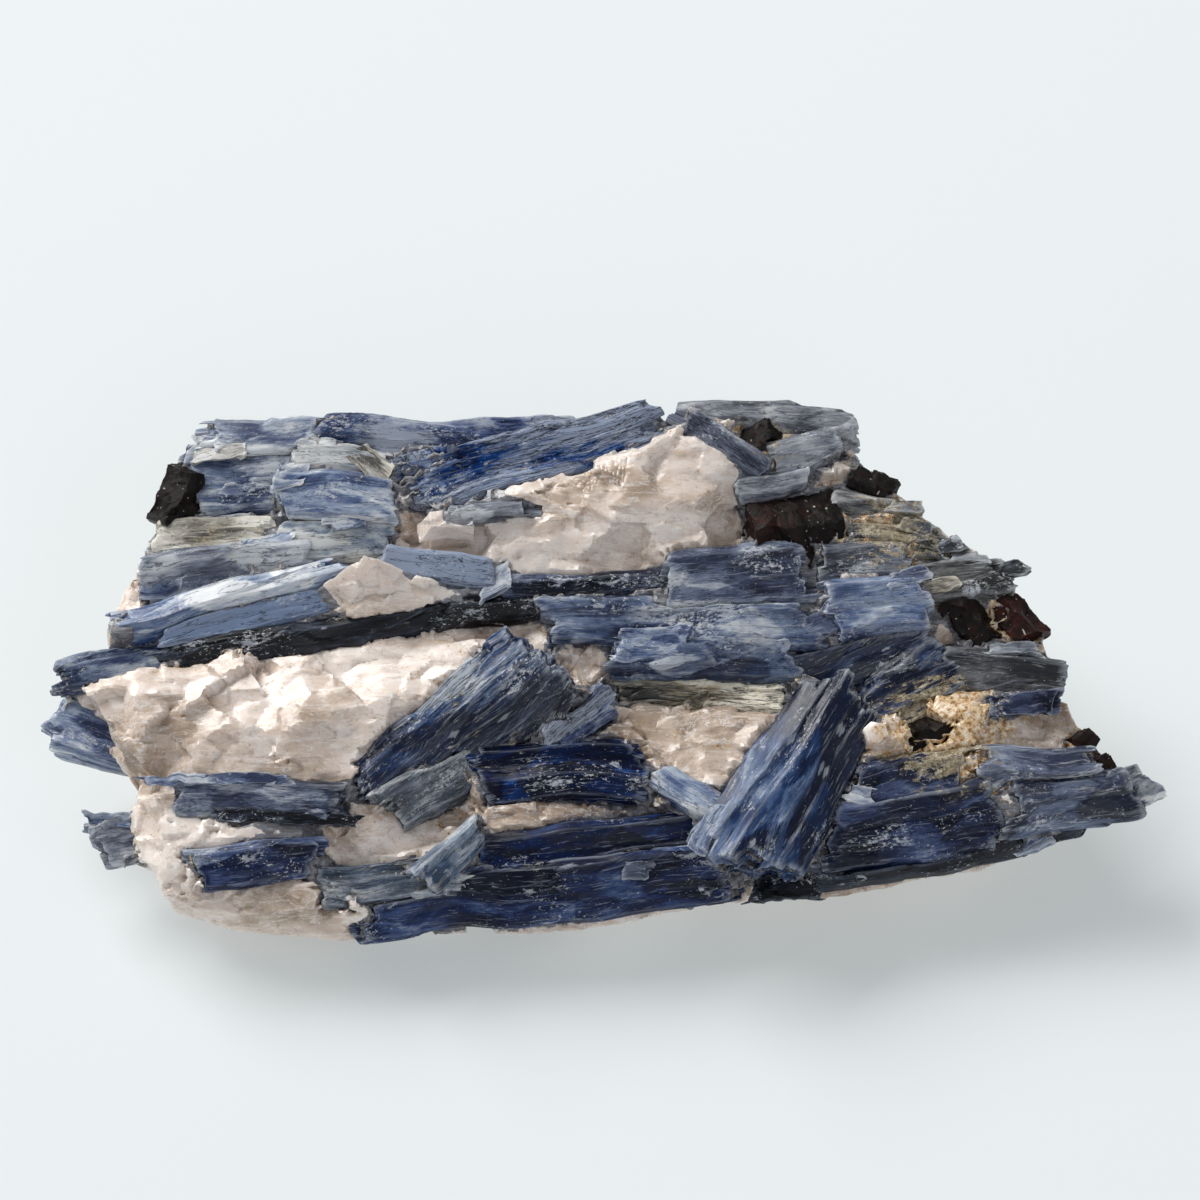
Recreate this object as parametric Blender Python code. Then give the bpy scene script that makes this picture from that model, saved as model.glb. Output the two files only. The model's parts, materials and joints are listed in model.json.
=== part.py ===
"""A kyanite specimen: a lump of milky quartz with blue kyanite blades and dark staurolite set in it.

The lump stands on a flat broken base. Its crystal-covered face leans towards the front. Everything on
that face is placed in the face's own frame, in millimetres: along (to the right), across (towards the
back) and up (out of the face). Each crystal sits in a socket that is GAP wider than it is.
"""

import math
import random

import bmesh
import bpy
from mathutils import Matrix, Vector

MM = 0.001
GAP = 0.3
FACE_TILT = math.radians(19)
FACE_HEIGHT = 23.0
FACE = Matrix.Translation((0, 0, FACE_HEIGHT)) @ Matrix.Rotation(FACE_TILT, 4, "X")

# How a blade is shaped: its chamfer as a share of its thinner side, how much narrower its far end is,
# how oblique its breaks are, and how unlike each other the laths of a broad blade are.
LONG_EDGE_CHAMFER = 0.22
END_TAPER = 0.88
END_SLANT = 0.5
LATH_OVERLAP = 1.3
LATH_SHARE = (0.7, 1.3)
LATH_STEP = 0.35
LATH_TWIST = 4.0
END_STEP = 0.14
STAUROLITE_SHEAR = (0.06, 0.18)
HEXAGON_FLATS = 0.9
MERGE = 0.001

COLOURS = {
    "quartz": ((0.72, 0.66, 0.60), 0.35),
    "kyanite_ink": ((0.03, 0.04, 0.08), 0.3),
    "kyanite_deep": ((0.05, 0.09, 0.24), 0.3),
    "kyanite_slate": ((0.14, 0.20, 0.34), 0.35),
    "kyanite_pale": ((0.36, 0.45, 0.62), 0.3),
    "kyanite_grey": ((0.30, 0.33, 0.36), 0.4),
    "kyanite_straw": ((0.50, 0.45, 0.33), 0.5),
    "staurolite": ((0.03, 0.015, 0.012), 0.3),
}

# The outline of the lump where it is widest, and the broken base that it stands on.
RIM = (
    (-66, -3), (-65, 10), (-61.5, 18), (-59.5, 26), (-53, 32.5), (-35, 34), (-5, 34), (12, 35.5),
    (33, 34), (40.5, 27), (50, 20), (57, 14), (60.5, 4), (64, -4), (67.5, -13), (65.5, -19),
    (54, -24), (35, -28), (10, -31.5), (-25, -35.5), (-42, -35.5), (-58, -31.5), (-62, -19),
)  # fmt: skip
RIM_HEIGHT = (-1.6, -0.9)
BELLY_SPAN = (0.97, 0.94)
BASE_SPAN = (0.80, 0.74)
BASE_SHIFT = 3.0

# Quartz knobs that stand out of the face: the points of each knob's own ridges and rim.
KNOBS = {
    "upper": (
        (-15, 23, 2.5), (-5, 26, 4.5), (6, 29.5, 6), (11.5, 33, 5), (18.5, 29, 4), (17.5, 23.5, 4),
        (13, 18, 2), (3, 20.5, 4.5), (1, 15.5, 1.5), (-7, 13, 0.5), (-13, 15.5, 1),
    ),
    "tent": (
        (-31.5, 15.5, 4), (-26.5, 9, 4), (-40, 5, 0), (-13.5, 10.5, 1.5), (-22.5, 13.5, 3),
        (-33, 5.5, 0.5), (-17, 9, 1),
    ),
    "left_crown": (
        (-70, -3, 0), (-59, -0.5, 0.8), (-48, 0.5, 1.5), (-46, -3, 3), (-54, -5.5, 3), (-62, -13, 0.5),
        (-64, -10.5, 0), (-68, -6, 0.2), (-52, -9, 1.5),
    ),
    "left_wedge": (
        (-55, -16, 0.5), (-52, -10.5, 2.5), (-44, -5.5, 3), (-27, -3.5, 3), (-24, -5, 2.5),
        (-30, -13, 2), (-35, -17, 1), (-46, -17.5, 1.5), (-37, -9, 3.5),
    ),
    "left_band": ((-42, 2, 1), (-17, 2.5, 1.5), (-20, -2, 1.5), (-42, -2, 1.2), (-30, 3, 1.6)),
    "left_foot": (
        (-63, -20, -0.5), (-58, -19, 1.5), (-46, -22, 2), (-40, -23, 1.5), (-44, -27, 1.5),
        (-56, -29, 1), (-61, -27, -0.5),
    ),
    "front_foot": ((-47, -30, 0), (-36, -31, 1), (-32, -34, 0.5), (-40, -35.6, -1), (-48, -33, -1)),
    "middle": (
        (-1, -6, 0.5), (10, -6.5, 1.5), (22, -8, 2), (20, -13, 2), (12, -14, 1.5), (6, -20, 0),
        (6, -14, 1.5),
    ),
    "lower": ((-17, -19, 1), (-13, -20, 1.8), (0, -20, 1.5), (2, -23, 0.5), (-8, -27, 0), (-16, -25, 0.8)),
    "right_bead": ((38, -11, 2), (41, -8.5, 3.2), (43, -10, 3), (41.5, -13, 1.5), (36.5, -13.5, 1)),
    "right_crust": ((44, -4, 0.5), (58, -5, 1), (62, -9, 0.5), (54, -12, 1.5), (45, -13, 1), (49, -8, 2)),
    "right_shelf": ((30, 24, 1), (42, 22, 0), (52, 12, 0), (44, 10, 1.5), (30, 17, 1), (36, 28, 0.5)),
}
KNOB_ROOT = 7.0


def blade(start, end, width, thickness, roll=0.0, laths=1):
    """A bar by the middle line of its outer face; with more laths than one it is split lengthwise."""
    return {"start": start, "end": end, "width": width, "thickness": thickness, "roll": roll, "laths": laths}


def crystal(finish, *blades):
    return {"finish": finish, "blades": blades}


# Every kyanite crystal. Blades that grew into each other are one crystal. Where two crystals meet, the
# earlier one keeps its shape and the later one is cut round it.
BLADES = {
    "diagonal_bundle": crystal(
        "kyanite_slate",
        blade((-34, -17, 0), (-13.5, 1.5, 5.5), 4.2, 5, -14),
        blade((-29.5, -16.2, 0.5), (-10.5, -0.5, 6.5), 4.4, 7),
        blade((-24.5, -15, 0.5), (-7.5, -2, 6.3), 4.4, 7, 8),
        blade((-19.5, -13.7, 0.3), (-4, -3.5, 5.4), 4.2, 6, 14),
        blade((-15, -12.7, 0), (-1.5, -5.5, 4.4), 3.8, 6, 20),
    ),
    "cross_crystal": crystal(
        "kyanite_slate",
        blade((14.2, -25.8, 5), (29.8, -3.2, 3), 5.8, 7, -22),
        blade((19.8, -28.6, 6.2), (34.8, -3.8, 3.5), 6, 9, 4),
        blade((25.5, -30, 4), (37.5, -8, 2.5), 5.5, 8, 26),
    ),
    "diagonal_side_laths": crystal(
        "kyanite_deep", blade((-5.8, -12, 2.2), (2.4, -5, 3.2), 4.6, 4, 12, laths=2)
    ),
    "right_centre_plate": crystal(
        "kyanite_pale", blade((31.2, 7, 3.8), (46, 8.7, 3.8), 7, 4, 6, laths=2)
    ),
    "front_block": crystal("kyanite_grey", blade((-22.8, -31.6, 3.2), (-16.2, -24.6, 3), 5, 4, 15)),
    "lilac_splinter": crystal("kyanite_pale", blade((9.5, -16, 2.6), (17, -21.6, 3.6), 4.5, 2.6, -10)),
    "corner_plate": crystal("kyanite_deep", blade((-28.5, 14.7, 3.4), (-15, 12.8, 2.6), 4.4, 2.6, 8)),
    "quartz_lath": crystal("kyanite_slate", blade((-21.5, 21.4, 3.2), (-8.9, 21.6, 4.4), 2, 3, 5)),
    "upper_right_blade": crystal("kyanite_deep", blade((11.3, 34.8, 4.6), (25.2, 27.6, 3), 4.2, 3.6, 6)),
    "upper_long_bundle": crystal(
        "kyanite_deep",
        blade((-27.5, 24.8, 2.2), (9.8, 35.4, 3), 8.4, 6, 10, laths=4),
        blade((-19, 24.2, 2.2), (-3.5, 29, 2.8), 2.6, 3, 5),
    ),
    "centre_upper_plate": crystal(
        "kyanite_slate", blade((5.5, 11.2, 2.6), (31, 13.2, 3), 7.6, 5, 5, laths=2)
    ),
    "centre_dark_blade": crystal("kyanite_deep", blade((-11, 11.1, 1.5), (10.2, 11.8, 1.5), 3.6, 4, 15)),
    "centre_main_plate": crystal(
        "kyanite_slate", blade((-7.5, 6, 2.3), (31.6, 6.2, 2.4), 6.8, 5, 5, laths=3)
    ),
    "centre_lower_plate": crystal(
        "kyanite_slate",
        blade((-1.5, 1.4, 1.8), (29.5, 1, 1.8), 6, 5, 12, laths=2),
        blade((2.5, 0.6, 3.2), (15, 1.4, 3.2), 4.4, 2.4, 8),
    ),
    "fibrous_blade": crystal(
        "kyanite_straw",
        blade((14.5, -3.9, 0), (27, -4.6, 0.4), 3.6, 4, 0, laths=3),
        blade((1.5, -3.2, -0.6), (17, -3.7, -0.6), 4, 4, 10, laths=2),
    ),
    "long_dark_blade": crystal("kyanite_ink", blade((-57.3, 0.8, 0.5), (-4.8, 9.6, 0.8), 5, 5, 26)),
    "left_end_blade": crystal("kyanite_slate", blade((-73, -1.6, 0), (-56, 1.8, 0.4), 5, 5, 16)),
    "left_pale_blade": crystal("kyanite_pale", blade((-65, 6.4, 2.2), (-36, 14.6, 2.4), 4.4, 6, -18)),
    "left_deep_blade": crystal(
        "kyanite_deep", blade((-61, 3.8, 1.9), (-34, 11.2, 1.9), 5, 6, 20, laths=2)
    ),
    "navy_blades": crystal(
        "kyanite_deep",
        blade((-16, -14.2, 2), (5.2, -13.2, 2), 4.4, 5, 10),
        blade((-15, -18.4, 2.4), (5, -17.6, 2.2), 5.2, 5, 20),
    ),
    "grey_fan": crystal("kyanite_grey", blade((-28.6, -20.3, 0.5), (-15.4, -12.6, 0.8), 7, 5, 5, laths=4)),
    "left_thin_laths": crystal("kyanite_slate", blade((-56.3, -19.2, 2), (-33, -20, 2), 5, 4, 10, laths=3)),
    "short_deep_blade": crystal(
        "kyanite_deep", blade((-54.2, -29.4, 2), (-36.4, -28.2, 2), 5, 5, 20, laths=2)
    ),
    "left_protruding_blade": crystal(
        "kyanite_pale", blade((-75, -5.6, -3.8), (-57, -10.4, -4), 7, 5, 4, laths=2)
    ),
    "left_low_laths": crystal(
        "kyanite_slate",
        blade((-68.5, -21.8, -3), (-53.5, -19.8, -3), 3.4, 3.4, 5),
        blade((-66.5, -24.8, -3.2), (-54, -23.6, -3.2), 4.6, 3.4, 12),
    ),
    "front_upper_blade": crystal(
        "kyanite_deep", blade((-18, -28.6, 1), (19, -22.6, 0.8), 6, 6, 20, laths=2)
    ),
    "front_grey_laths": crystal("kyanite_grey", blade((-36, -31.8, 0.6), (-17, -29.6, 0.8), 5, 5, 15, laths=3)),
    "front_long_blade": crystal(
        "kyanite_deep", blade((-35.5, -34.8, -0.8), (21, -29, -0.6), 8, 7, 32, laths=3)
    ),
    "right_triangle_plate": crystal("kyanite_deep", blade((34, -18.4, 2), (50, -15.8, 2), 6.6, 5, 12)),
    "right_front_blade": crystal(
        "kyanite_deep", blade((29, -25.2, 0.5), (56, -20.4, 0.6), 8.6, 6, 20, laths=3)
    ),
    "front_low_laths": crystal(
        "kyanite_ink",
        blade((26, -29.6, -1.2), (50, -26.2, -1.4), 4.6, 5, 32),
        blade((45, -26.4, -1.6), (56.5, -24.2, -1.8), 4, 4, 20),
        blade((53, -23.4, -2.4), (65.5, -20.8, -2.6), 4.6, 4, 15),
    ),
    "right_end_blade": crystal(
        "kyanite_slate",
        blade((54.5, -20.6, 0.9), (71.8, -17.6, 0.8), 6, 6, 15, laths=2),
        blade((63, -17.6, -1.2), (74, -17.4, -1.4), 5.4, 5, 5),
    ),
    "right_pale_laths": crystal(
        "kyanite_pale", blade((50.5, -15.2, 1.9), (67.5, -14.6, 1.8), 5.2, 4, 8, laths=3)
    ),
    "right_upper_plate": crystal("kyanite_slate", blade((30.6, 14.6, 2.4), (43, 14.9, 2.4), 5.6, 4, 6)),
    "right_grey_blade": crystal("kyanite_slate", blade((47.5, -0.3, 1), (63.6, -2.2, 0.8), 5.4, 5, 8, laths=2)),
    "rough_slope_bundle": crystal(
        "kyanite_slate",
        blade((37.6, -9, 0.9), (49, 2.2, 1.2), 7.5, 5, 10, laths=4),
        blade((27, -0.4, 0.4), (46, 2.8, 0.7), 5.4, 4, 22, laths=2),
    ),
    "right_rim_laths": crystal("kyanite_grey", blade((34.5, 18.6, 1), (48.5, 18.6, 0.6), 4.6, 5, 0, laths=3)),
    "right_rim_lobe": crystal("kyanite_grey", blade((42.5, 12.6, 0.6), (58, 13.4, 0), 5.8, 6, 0, laths=2)),
    "right_back_laths": crystal("kyanite_grey", blade((33, 23.8, 0.6), (45.5, 22, 0.2), 4, 5, -5, laths=2)),
    "pale_step_laths": crystal(
        "kyanite_pale",
        blade((19.5, 25, 3), (29, 27.4, 2.4), 3.8, 4, 5),
        blade((24.5, 29.6, 2.2), (33, 32, 1.8), 5.6, 3.4, 5),
    ),
    "back_right_laths": crystal(
        "kyanite_slate",
        blade((12.5, 37.4, 1.2), (25.5, 37.7, 1.2), 4.2, 6, -8),
        blade((24, 37.1, 1.5), (35, 35.2, 1.2), 4.6, 5, -8),
    ),
    "back_left_blade": crystal(
        "kyanite_pale", blade((-55.4, 33.8, 1.2), (-37.8, 34.4, 1.4), 5, 6, -4, laths=2)
    ),
    "back_deep_blade": crystal(
        "kyanite_deep",
        blade((-38.2, 35, 2), (-20.5, 33.6, 1), 5.4, 6, 8),
        blade((-29.5, 31.9, 0.9), (-21, 31.8, 0.7), 4, 4, 10),
        blade((-22, 35, 0.2), (-2, 35.9, 0.6), 4, 5, -5, laths=2),
    ),
    "grey_green_plate": crystal("kyanite_grey", blade((-41.5, 30.6, 2), (-29, 28.9, 2), 4.4, 4, 6)),
    "upper_pale_plate": crystal(
        "kyanite_pale", blade((-45, 25.2, 1.8), (-27, 24.2, 1.6), 6.2, 5, 6, laths=2)
    ),
    "left_slate_bundle": crystal(
        "kyanite_slate",
        blade((-56.5, 31.2, 0.4), (-42, 31, 0.6), 4.4, 5, -4),
        blade((-56, 28.2, 0.6), (-42, 28.2, 0.8), 4.6, 5, 4),
        blade((-54.4, 24.8, 0.5), (-43.4, 25.4, 0.5), 4.8, 5, 8),
    ),
    "left_straw_laths": crystal(
        "kyanite_straw", blade((-61, 19.6, 0.2), (-45, 19.8, 0.2), 5, 5, -5, laths=3)
    ),
    "grey_middle_laths": crystal("kyanite_grey", blade((-44.6, 18.6, 0.6), (-27.2, 19.4, 0.8), 6, 5, 5, laths=2)),
    "left_blue_laths": crystal("kyanite_slate", blade((-63.6, 13, 0.6), (-38, 15.4, 0.8), 6, 5, 8, laths=2)),
    "back_wall_blades": crystal(
        "kyanite_slate",
        blade((-40, 34.2, -8), (-6, 34.8, -10), 8, 5, -78, laths=3),
        blade((-16, 34.2, -13), (20, 35.4, -9), 7, 5, -80, laths=2),
    ),
    "back_wall_pale_blades": crystal(
        "kyanite_pale", blade((14, 33.6, -16), (36, 31.4, -13), 6, 5, -84, laths=3)
    ),
}

# Staurolite: stubby dark prisms. Middle of the outer face, length, width, depth, heading and lean.
STAUROLITES = {
    "staurolite_centre": ((27.6, 19.6, 3.2), 12.5, 10, 9, 14, 10),
    "staurolite_left_end": ((-57.6, 25.4, 1.6), 8, 7, 7, 70, -12),
    "staurolite_back": ((23.6, 33.6, 2.4), 6, 5.6, 6, 82, 8),
    "staurolite_rim": ((38.4, 27.4, 0.6), 5.4, 4.2, 5, -24, 5),
    "staurolite_right_upper": ((56.4, 8.6, 0.4), 10.5, 4.4, 5, -46, 0),
    "staurolite_right_inner": ((51.2, 7, 1), 7, 4.8, 5, -50, 8),
    "staurolite_crust": ((46.8, -9.8, 1.4), 8.6, 4.8, 5, 18, 8),
    "staurolite_right_end": ((66.6, -12.2, 0.4), 6, 4.6, 5, -55, 0),
}


def new_object(name, shape, collection, finish=None):
    """Moves the bmesh, made in millimetres, to a named object in metres."""
    bmesh.ops.transform(shape, matrix=Matrix.Scale(MM, 4), verts=shape.verts)
    mesh = bpy.data.meshes.new(name)
    shape.to_mesh(mesh)
    shape.free()
    made = bpy.data.objects.new(name, mesh)
    collection.objects.link(made)
    if finish:
        mesh.materials.append(bpy.data.materials[finish])
    return made


def new_collection(name):
    made = bpy.data.collections.new(name)
    bpy.context.scene.collection.children.link(made)
    return made


def remove_collection(collection):
    for helper in list(collection.objects):
        bpy.data.objects.remove(helper)
    bpy.data.collections.remove(collection)


def make_materials():
    for name, (colour, roughness) in COLOURS.items():
        material = bpy.data.materials.new(name)
        material.use_nodes = True
        shader = material.node_tree.nodes["Principled BSDF"]
        shader.inputs["Base Color"].default_value = (*colour, 1)
        shader.inputs["Roughness"].default_value = roughness


def boolean(target, operation, operands):
    modifier = target.modifiers.new(operation.title(), "BOOLEAN")
    modifier.operation = operation
    modifier.solver = "EXACT"
    modifier.operand_type = "COLLECTION"
    modifier.collection = operands


def largest_body(shape):
    """The vertices of the body that holds the most of them."""
    left = set(shape.verts)
    bodies = []
    while left:
        body, edge_of_search = set(), [left.pop()]
        while edge_of_search:
            vertex = edge_of_search.pop()
            body.add(vertex)
            joined = {edge.other_vert(vertex) for edge in vertex.link_edges} & left
            left -= joined
            edge_of_search += joined
        bodies.append(body)
    return max(bodies, key=len)


def settle(made):
    """Makes the Booleans' result the object's own mesh, without crumbs that a cut has set loose."""
    evaluated = made.evaluated_get(bpy.context.evaluated_depsgraph_get())
    mesh = bpy.data.meshes.new_from_object(evaluated)
    made.modifiers.clear()
    made.data = mesh
    shape = bmesh.new()
    shape.from_mesh(mesh)
    kept = largest_body(shape)
    bmesh.ops.delete(shape, geom=[v for v in shape.verts if v not in kept], context="VERTS")
    bmesh.ops.remove_doubles(shape, verts=shape.verts, dist=MERGE * MM)
    shape.to_mesh(mesh)
    shape.free()


def hull(points):
    """The convex body round the points."""
    shape = bmesh.new()
    for point in points:
        shape.verts.new(point)
    made = bmesh.ops.convex_hull(shape, input=shape.verts)
    bmesh.ops.delete(shape, geom=list({*made["geom_interior"], *made["geom_unused"]}), context="VERTS")
    bmesh.ops.recalc_face_normals(shape, faces=shape.faces)
    return shape


def frame_along(start, end, roll):
    """Where a crystal lies: X runs from start to end, and Z points out of its outer face."""
    start, end = Vector(start), Vector(end)
    along = (end - start).normalized()
    across = Vector((0, 0, 1)).cross(along).normalized()
    axes = Matrix((along, across, along.cross(across))).transposed().to_4x4()
    return Matrix.Translation((start + end) / 2) @ axes @ Matrix.Rotation(math.radians(roll), 4, "X")


def prism(length, width, thickness, slants, grow):
    """A bar whose outer face is at Z = 0, with that face's edges chamfered and its ends oblique."""
    shape = bmesh.new()
    bmesh.ops.create_cube(shape, size=1)
    size = (length + 2 * grow, width + 2 * grow, thickness + 2 * grow)
    bmesh.ops.scale(shape, vec=size, verts=shape.verts)
    bmesh.ops.translate(shape, vec=(0, 0, -thickness / 2), verts=shape.verts)
    outer = [v for v in shape.verts if v.co.z > -thickness / 2]
    long_edges = [e for e in shape.edges if all(v in outer for v in e.verts) and is_lengthwise(e)]
    chamfer = LONG_EDGE_CHAMFER * min(width, thickness)
    bmesh.ops.bevel(shape, geom=long_edges, offset=chamfer, segments=1, affect="EDGES")
    for vertex in shape.verts:
        side = 1 if vertex.co.x > 0 else -1
        vertex.co.x += slants[side] * vertex.co.y
        vertex.co.y *= END_TAPER if side > 0 else 1
    return shape


def is_lengthwise(edge):
    first, second = (vertex.co for vertex in edge.verts)
    return first.x * second.x < 0


def side_by_side(spec, rng):
    """Splits one broad blade into laths of unequal width, length and height that overlap a little."""
    start, end = Vector(spec["start"]), Vector(spec["end"])
    span = (end - start).length
    frame = frame_along(start, end, spec["roll"])
    shares = [rng.uniform(*LATH_SHARE) for _ in range(spec["laths"])]
    across = -spec["width"] / 2
    for share in shares:
        width = spec["width"] * share / sum(shares)
        middle = across + width / 2
        across += width
        raised = rng.uniform(-LATH_STEP, LATH_STEP)
        ends = (-span / 2 + rng.uniform(0, END_STEP) * span, span / 2 - rng.uniform(0, END_STEP) * span)
        start_point, end_point = (frame @ Vector((end, middle, raised)) for end in ends)
        roll = spec["roll"] + rng.uniform(-LATH_TWIST, LATH_TWIST)
        yield blade(start_point, end_point, width * LATH_OVERLAP, spec["thickness"], roll)


def lath_shapes(name):
    """For each bar that the crystal is made of, its own shape and the wider one of its socket."""
    rng = random.Random(name)
    bars = []
    for spec in BLADES[name]["blades"]:
        bars += side_by_side(spec, rng) if spec["laths"] > 1 else [spec]
    for bar in bars:
        slants = {side: rng.uniform(-END_SLANT, END_SLANT) for side in (1, -1)}
        yield lath_shape(bar, slants), lath_shape(bar, slants, GAP)


def lath_shape(bar, slants, grow=0.0):
    length = (Vector(bar["end"]) - Vector(bar["start"])).length
    shape = prism(length, bar["width"], bar["thickness"], slants, grow)
    place = FACE @ frame_along(bar["start"], bar["end"], bar["roll"])
    bmesh.ops.transform(shape, matrix=place, verts=shape.verts)
    return shape


def staurolite_shape(name, grow=0.0):
    """A six-sided stub lying on its side, a little sheared, as broken crystals are."""
    middle, length, width, depth, heading, lean = STAUROLITES[name]
    shape = bmesh.new()
    lying = Matrix.Rotation(math.radians(90), 4, "Y") @ Matrix.Rotation(math.radians(30), 4, "Z")
    bmesh.ops.create_cone(
        shape, cap_ends=True, segments=6, radius1=0.5, radius2=0.47, depth=1, matrix=lying
    )
    rng = random.Random(name)
    shear = rng.uniform(*STAUROLITE_SHEAR)
    for vertex in shape.verts:
        vertex.co.x += shear * vertex.co.y
    size = (length + 2 * grow, (width + 2 * grow) / HEXAGON_FLATS, depth + 2 * grow)
    bmesh.ops.scale(shape, vec=size, verts=shape.verts)
    place = Matrix.Translation(Vector(middle) - Vector((0, 0, depth / 2)))
    place = place @ Matrix.Rotation(math.radians(heading), 4, "Z") @ Matrix.Rotation(math.radians(lean), 4, "Y")
    bmesh.ops.transform(shape, matrix=FACE @ place, verts=shape.verts)
    return shape


def lump_shape():
    """The body of the lump, from its flat base over a wider belly to the rim of the face."""
    rng = random.Random("lump")
    points = []
    for along, across in RIM:
        rim = FACE @ Vector((along, across, rng.uniform(*RIM_HEIGHT)))
        belly = Vector((along * BELLY_SPAN[0], across * BELLY_SPAN[1], rim.z * rng.uniform(0.5, 0.62)))
        reach = rng.uniform(0.95, 1.03)
        foot = Vector((along * BASE_SPAN[0] * reach, across * BASE_SPAN[1] * reach + BASE_SHIFT, 0))
        points += [rim, belly, foot]
    return hull(points)


def knob_shape(name):
    crest = [Vector(point) for point in KNOBS[name]]
    root = [point - Vector((0, 0, KNOB_ROOT)) for point in crest]
    return hull([FACE @ point for point in crest + root])


def box_of(item):
    corners = [vertex.co for vertex in item.data.vertices]
    return [(min(c[k] for c in corners), max(c[k] for c in corners)) for k in range(3)]


def boxes_meet(first, second):
    return all(a[0] < b[1] and b[0] < a[1] for a, b in zip(box_of(first), box_of(second)))


def make_crystal(name, shapes, finish, parts, sockets):
    """One crystal: its bars joined, then cut round the crystals that were there first."""
    made = new_object(name, shapes[0], parts, finish)
    others = new_collection("laths")
    for number, shape in enumerate(shapes[1:]):
        new_object(f"{name}_lath_{number}", shape, others)
    if others.objects:
        boolean(made, "UNION", others)
        settle(made)
    remove_collection(others)
    neighbours = new_collection("neighbours")
    for socket in sockets.objects:
        if boxes_meet(made, socket):
            neighbours.objects.link(socket)
    if neighbours.objects:
        boolean(made, "DIFFERENCE", neighbours)
        settle(made)
    bpy.data.collections.remove(neighbours)


def make_crystals(parts, sockets):
    for name, made_of in BLADES.items():
        shapes, wider = zip(*lath_shapes(name))
        make_crystal(name, shapes, made_of["finish"], parts, sockets)
        for number, shape in enumerate(wider):
            new_object(f"{name}_socket_{number}", shape, sockets)
    for name in STAUROLITES:
        make_crystal(name, [staurolite_shape(name)], "staurolite", parts, sockets)
        new_object(name + "_socket", staurolite_shape(name, GAP), sockets)


def make_matrix(parts, sockets):
    """The quartz lump with its knobs, less a socket for every crystal."""
    matrix = new_object("quartz_matrix", lump_shape(), parts, "quartz")
    knobs = new_collection("knobs")
    for name in KNOBS:
        new_object("knob_" + name, knob_shape(name), knobs)
    boolean(matrix, "UNION", knobs)
    boolean(matrix, "DIFFERENCE", sockets)
    settle(matrix)
    remove_collection(knobs)


def stand_at_origin(parts):
    """Moves everything so that the whole stands on Z = 0 with its middle over the origin."""
    boxes = [box_of(item) for item in parts.objects]
    low = [min(box[k][0] for box in boxes) for k in range(3)]
    high = [max(box[k][1] for box in boxes) for k in range(3)]
    shift = Matrix.Translation((-(low[0] + high[0]) / 2, -(low[1] + high[1]) / 2, -low[2]))
    for item in parts.objects:
        item.data.transform(shift)


def main():
    for old in list(bpy.data.objects):
        bpy.data.objects.remove(old)
    make_materials()
    parts = new_collection("kyanite_specimen")
    sockets = new_collection("sockets")
    make_crystals(parts, sockets)
    make_matrix(parts, sockets)
    remove_collection(sockets)
    stand_at_origin(parts)


main()
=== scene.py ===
# A kyanite specimen: blades of blue kyanite and stubs of dark staurolite, grown in a lump of milky quartz.
import json
import math
import random

import bpy
import numpy as np
from mathutils import Matrix, Vector
from mathutils.bvhtree import BVHTree


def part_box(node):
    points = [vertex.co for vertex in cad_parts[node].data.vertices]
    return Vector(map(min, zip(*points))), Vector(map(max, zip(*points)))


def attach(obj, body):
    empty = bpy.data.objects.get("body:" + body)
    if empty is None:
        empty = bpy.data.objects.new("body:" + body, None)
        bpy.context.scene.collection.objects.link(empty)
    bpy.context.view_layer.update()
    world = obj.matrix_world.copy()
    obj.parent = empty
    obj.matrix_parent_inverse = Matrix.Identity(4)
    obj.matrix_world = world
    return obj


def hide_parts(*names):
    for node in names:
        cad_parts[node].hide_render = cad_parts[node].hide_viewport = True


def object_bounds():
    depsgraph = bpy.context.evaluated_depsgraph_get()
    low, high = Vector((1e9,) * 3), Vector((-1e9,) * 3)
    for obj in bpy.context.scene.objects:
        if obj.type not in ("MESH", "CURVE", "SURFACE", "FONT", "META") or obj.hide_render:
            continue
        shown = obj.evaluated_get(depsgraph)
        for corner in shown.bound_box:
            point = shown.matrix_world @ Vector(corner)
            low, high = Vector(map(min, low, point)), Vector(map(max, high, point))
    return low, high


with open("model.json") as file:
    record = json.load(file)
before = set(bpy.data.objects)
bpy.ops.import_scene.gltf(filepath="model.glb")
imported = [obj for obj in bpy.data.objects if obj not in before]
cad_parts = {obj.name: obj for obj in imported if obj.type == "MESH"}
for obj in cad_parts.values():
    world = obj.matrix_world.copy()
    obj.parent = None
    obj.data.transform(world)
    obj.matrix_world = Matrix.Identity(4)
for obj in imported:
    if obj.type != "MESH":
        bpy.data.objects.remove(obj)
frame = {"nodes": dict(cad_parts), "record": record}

mm = 0.001
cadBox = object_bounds()
lowCorner, highCorner = (Vector(corner) for corner in cadBox)
middle = (lowCorner + highCorner) / 2
slotOf = {part["node"]: part["material_slot"] for part in frame["record"]["subparts"]}
crystalNames = [name for name in slotOf if name != "quartz_matrix"]
faceLean = math.radians(19)  # the crowded face leans to the front
faceUp = Vector((0, -math.sin(faceLean), math.cos(faceLean)))
farDown = -99.0  # lower than anything


def linear(hexColour):  # an sRGB hex colour as the linear colour that a shader takes
    parts = [int(hexColour[i:i + 2], 16) / 255 for i in (1, 3, 5)]
    return tuple(p / 12.92 if p <= 0.04045 else ((p + 0.055) / 1.055) ** 2.4 for p in parts) + (1.0,)


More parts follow.
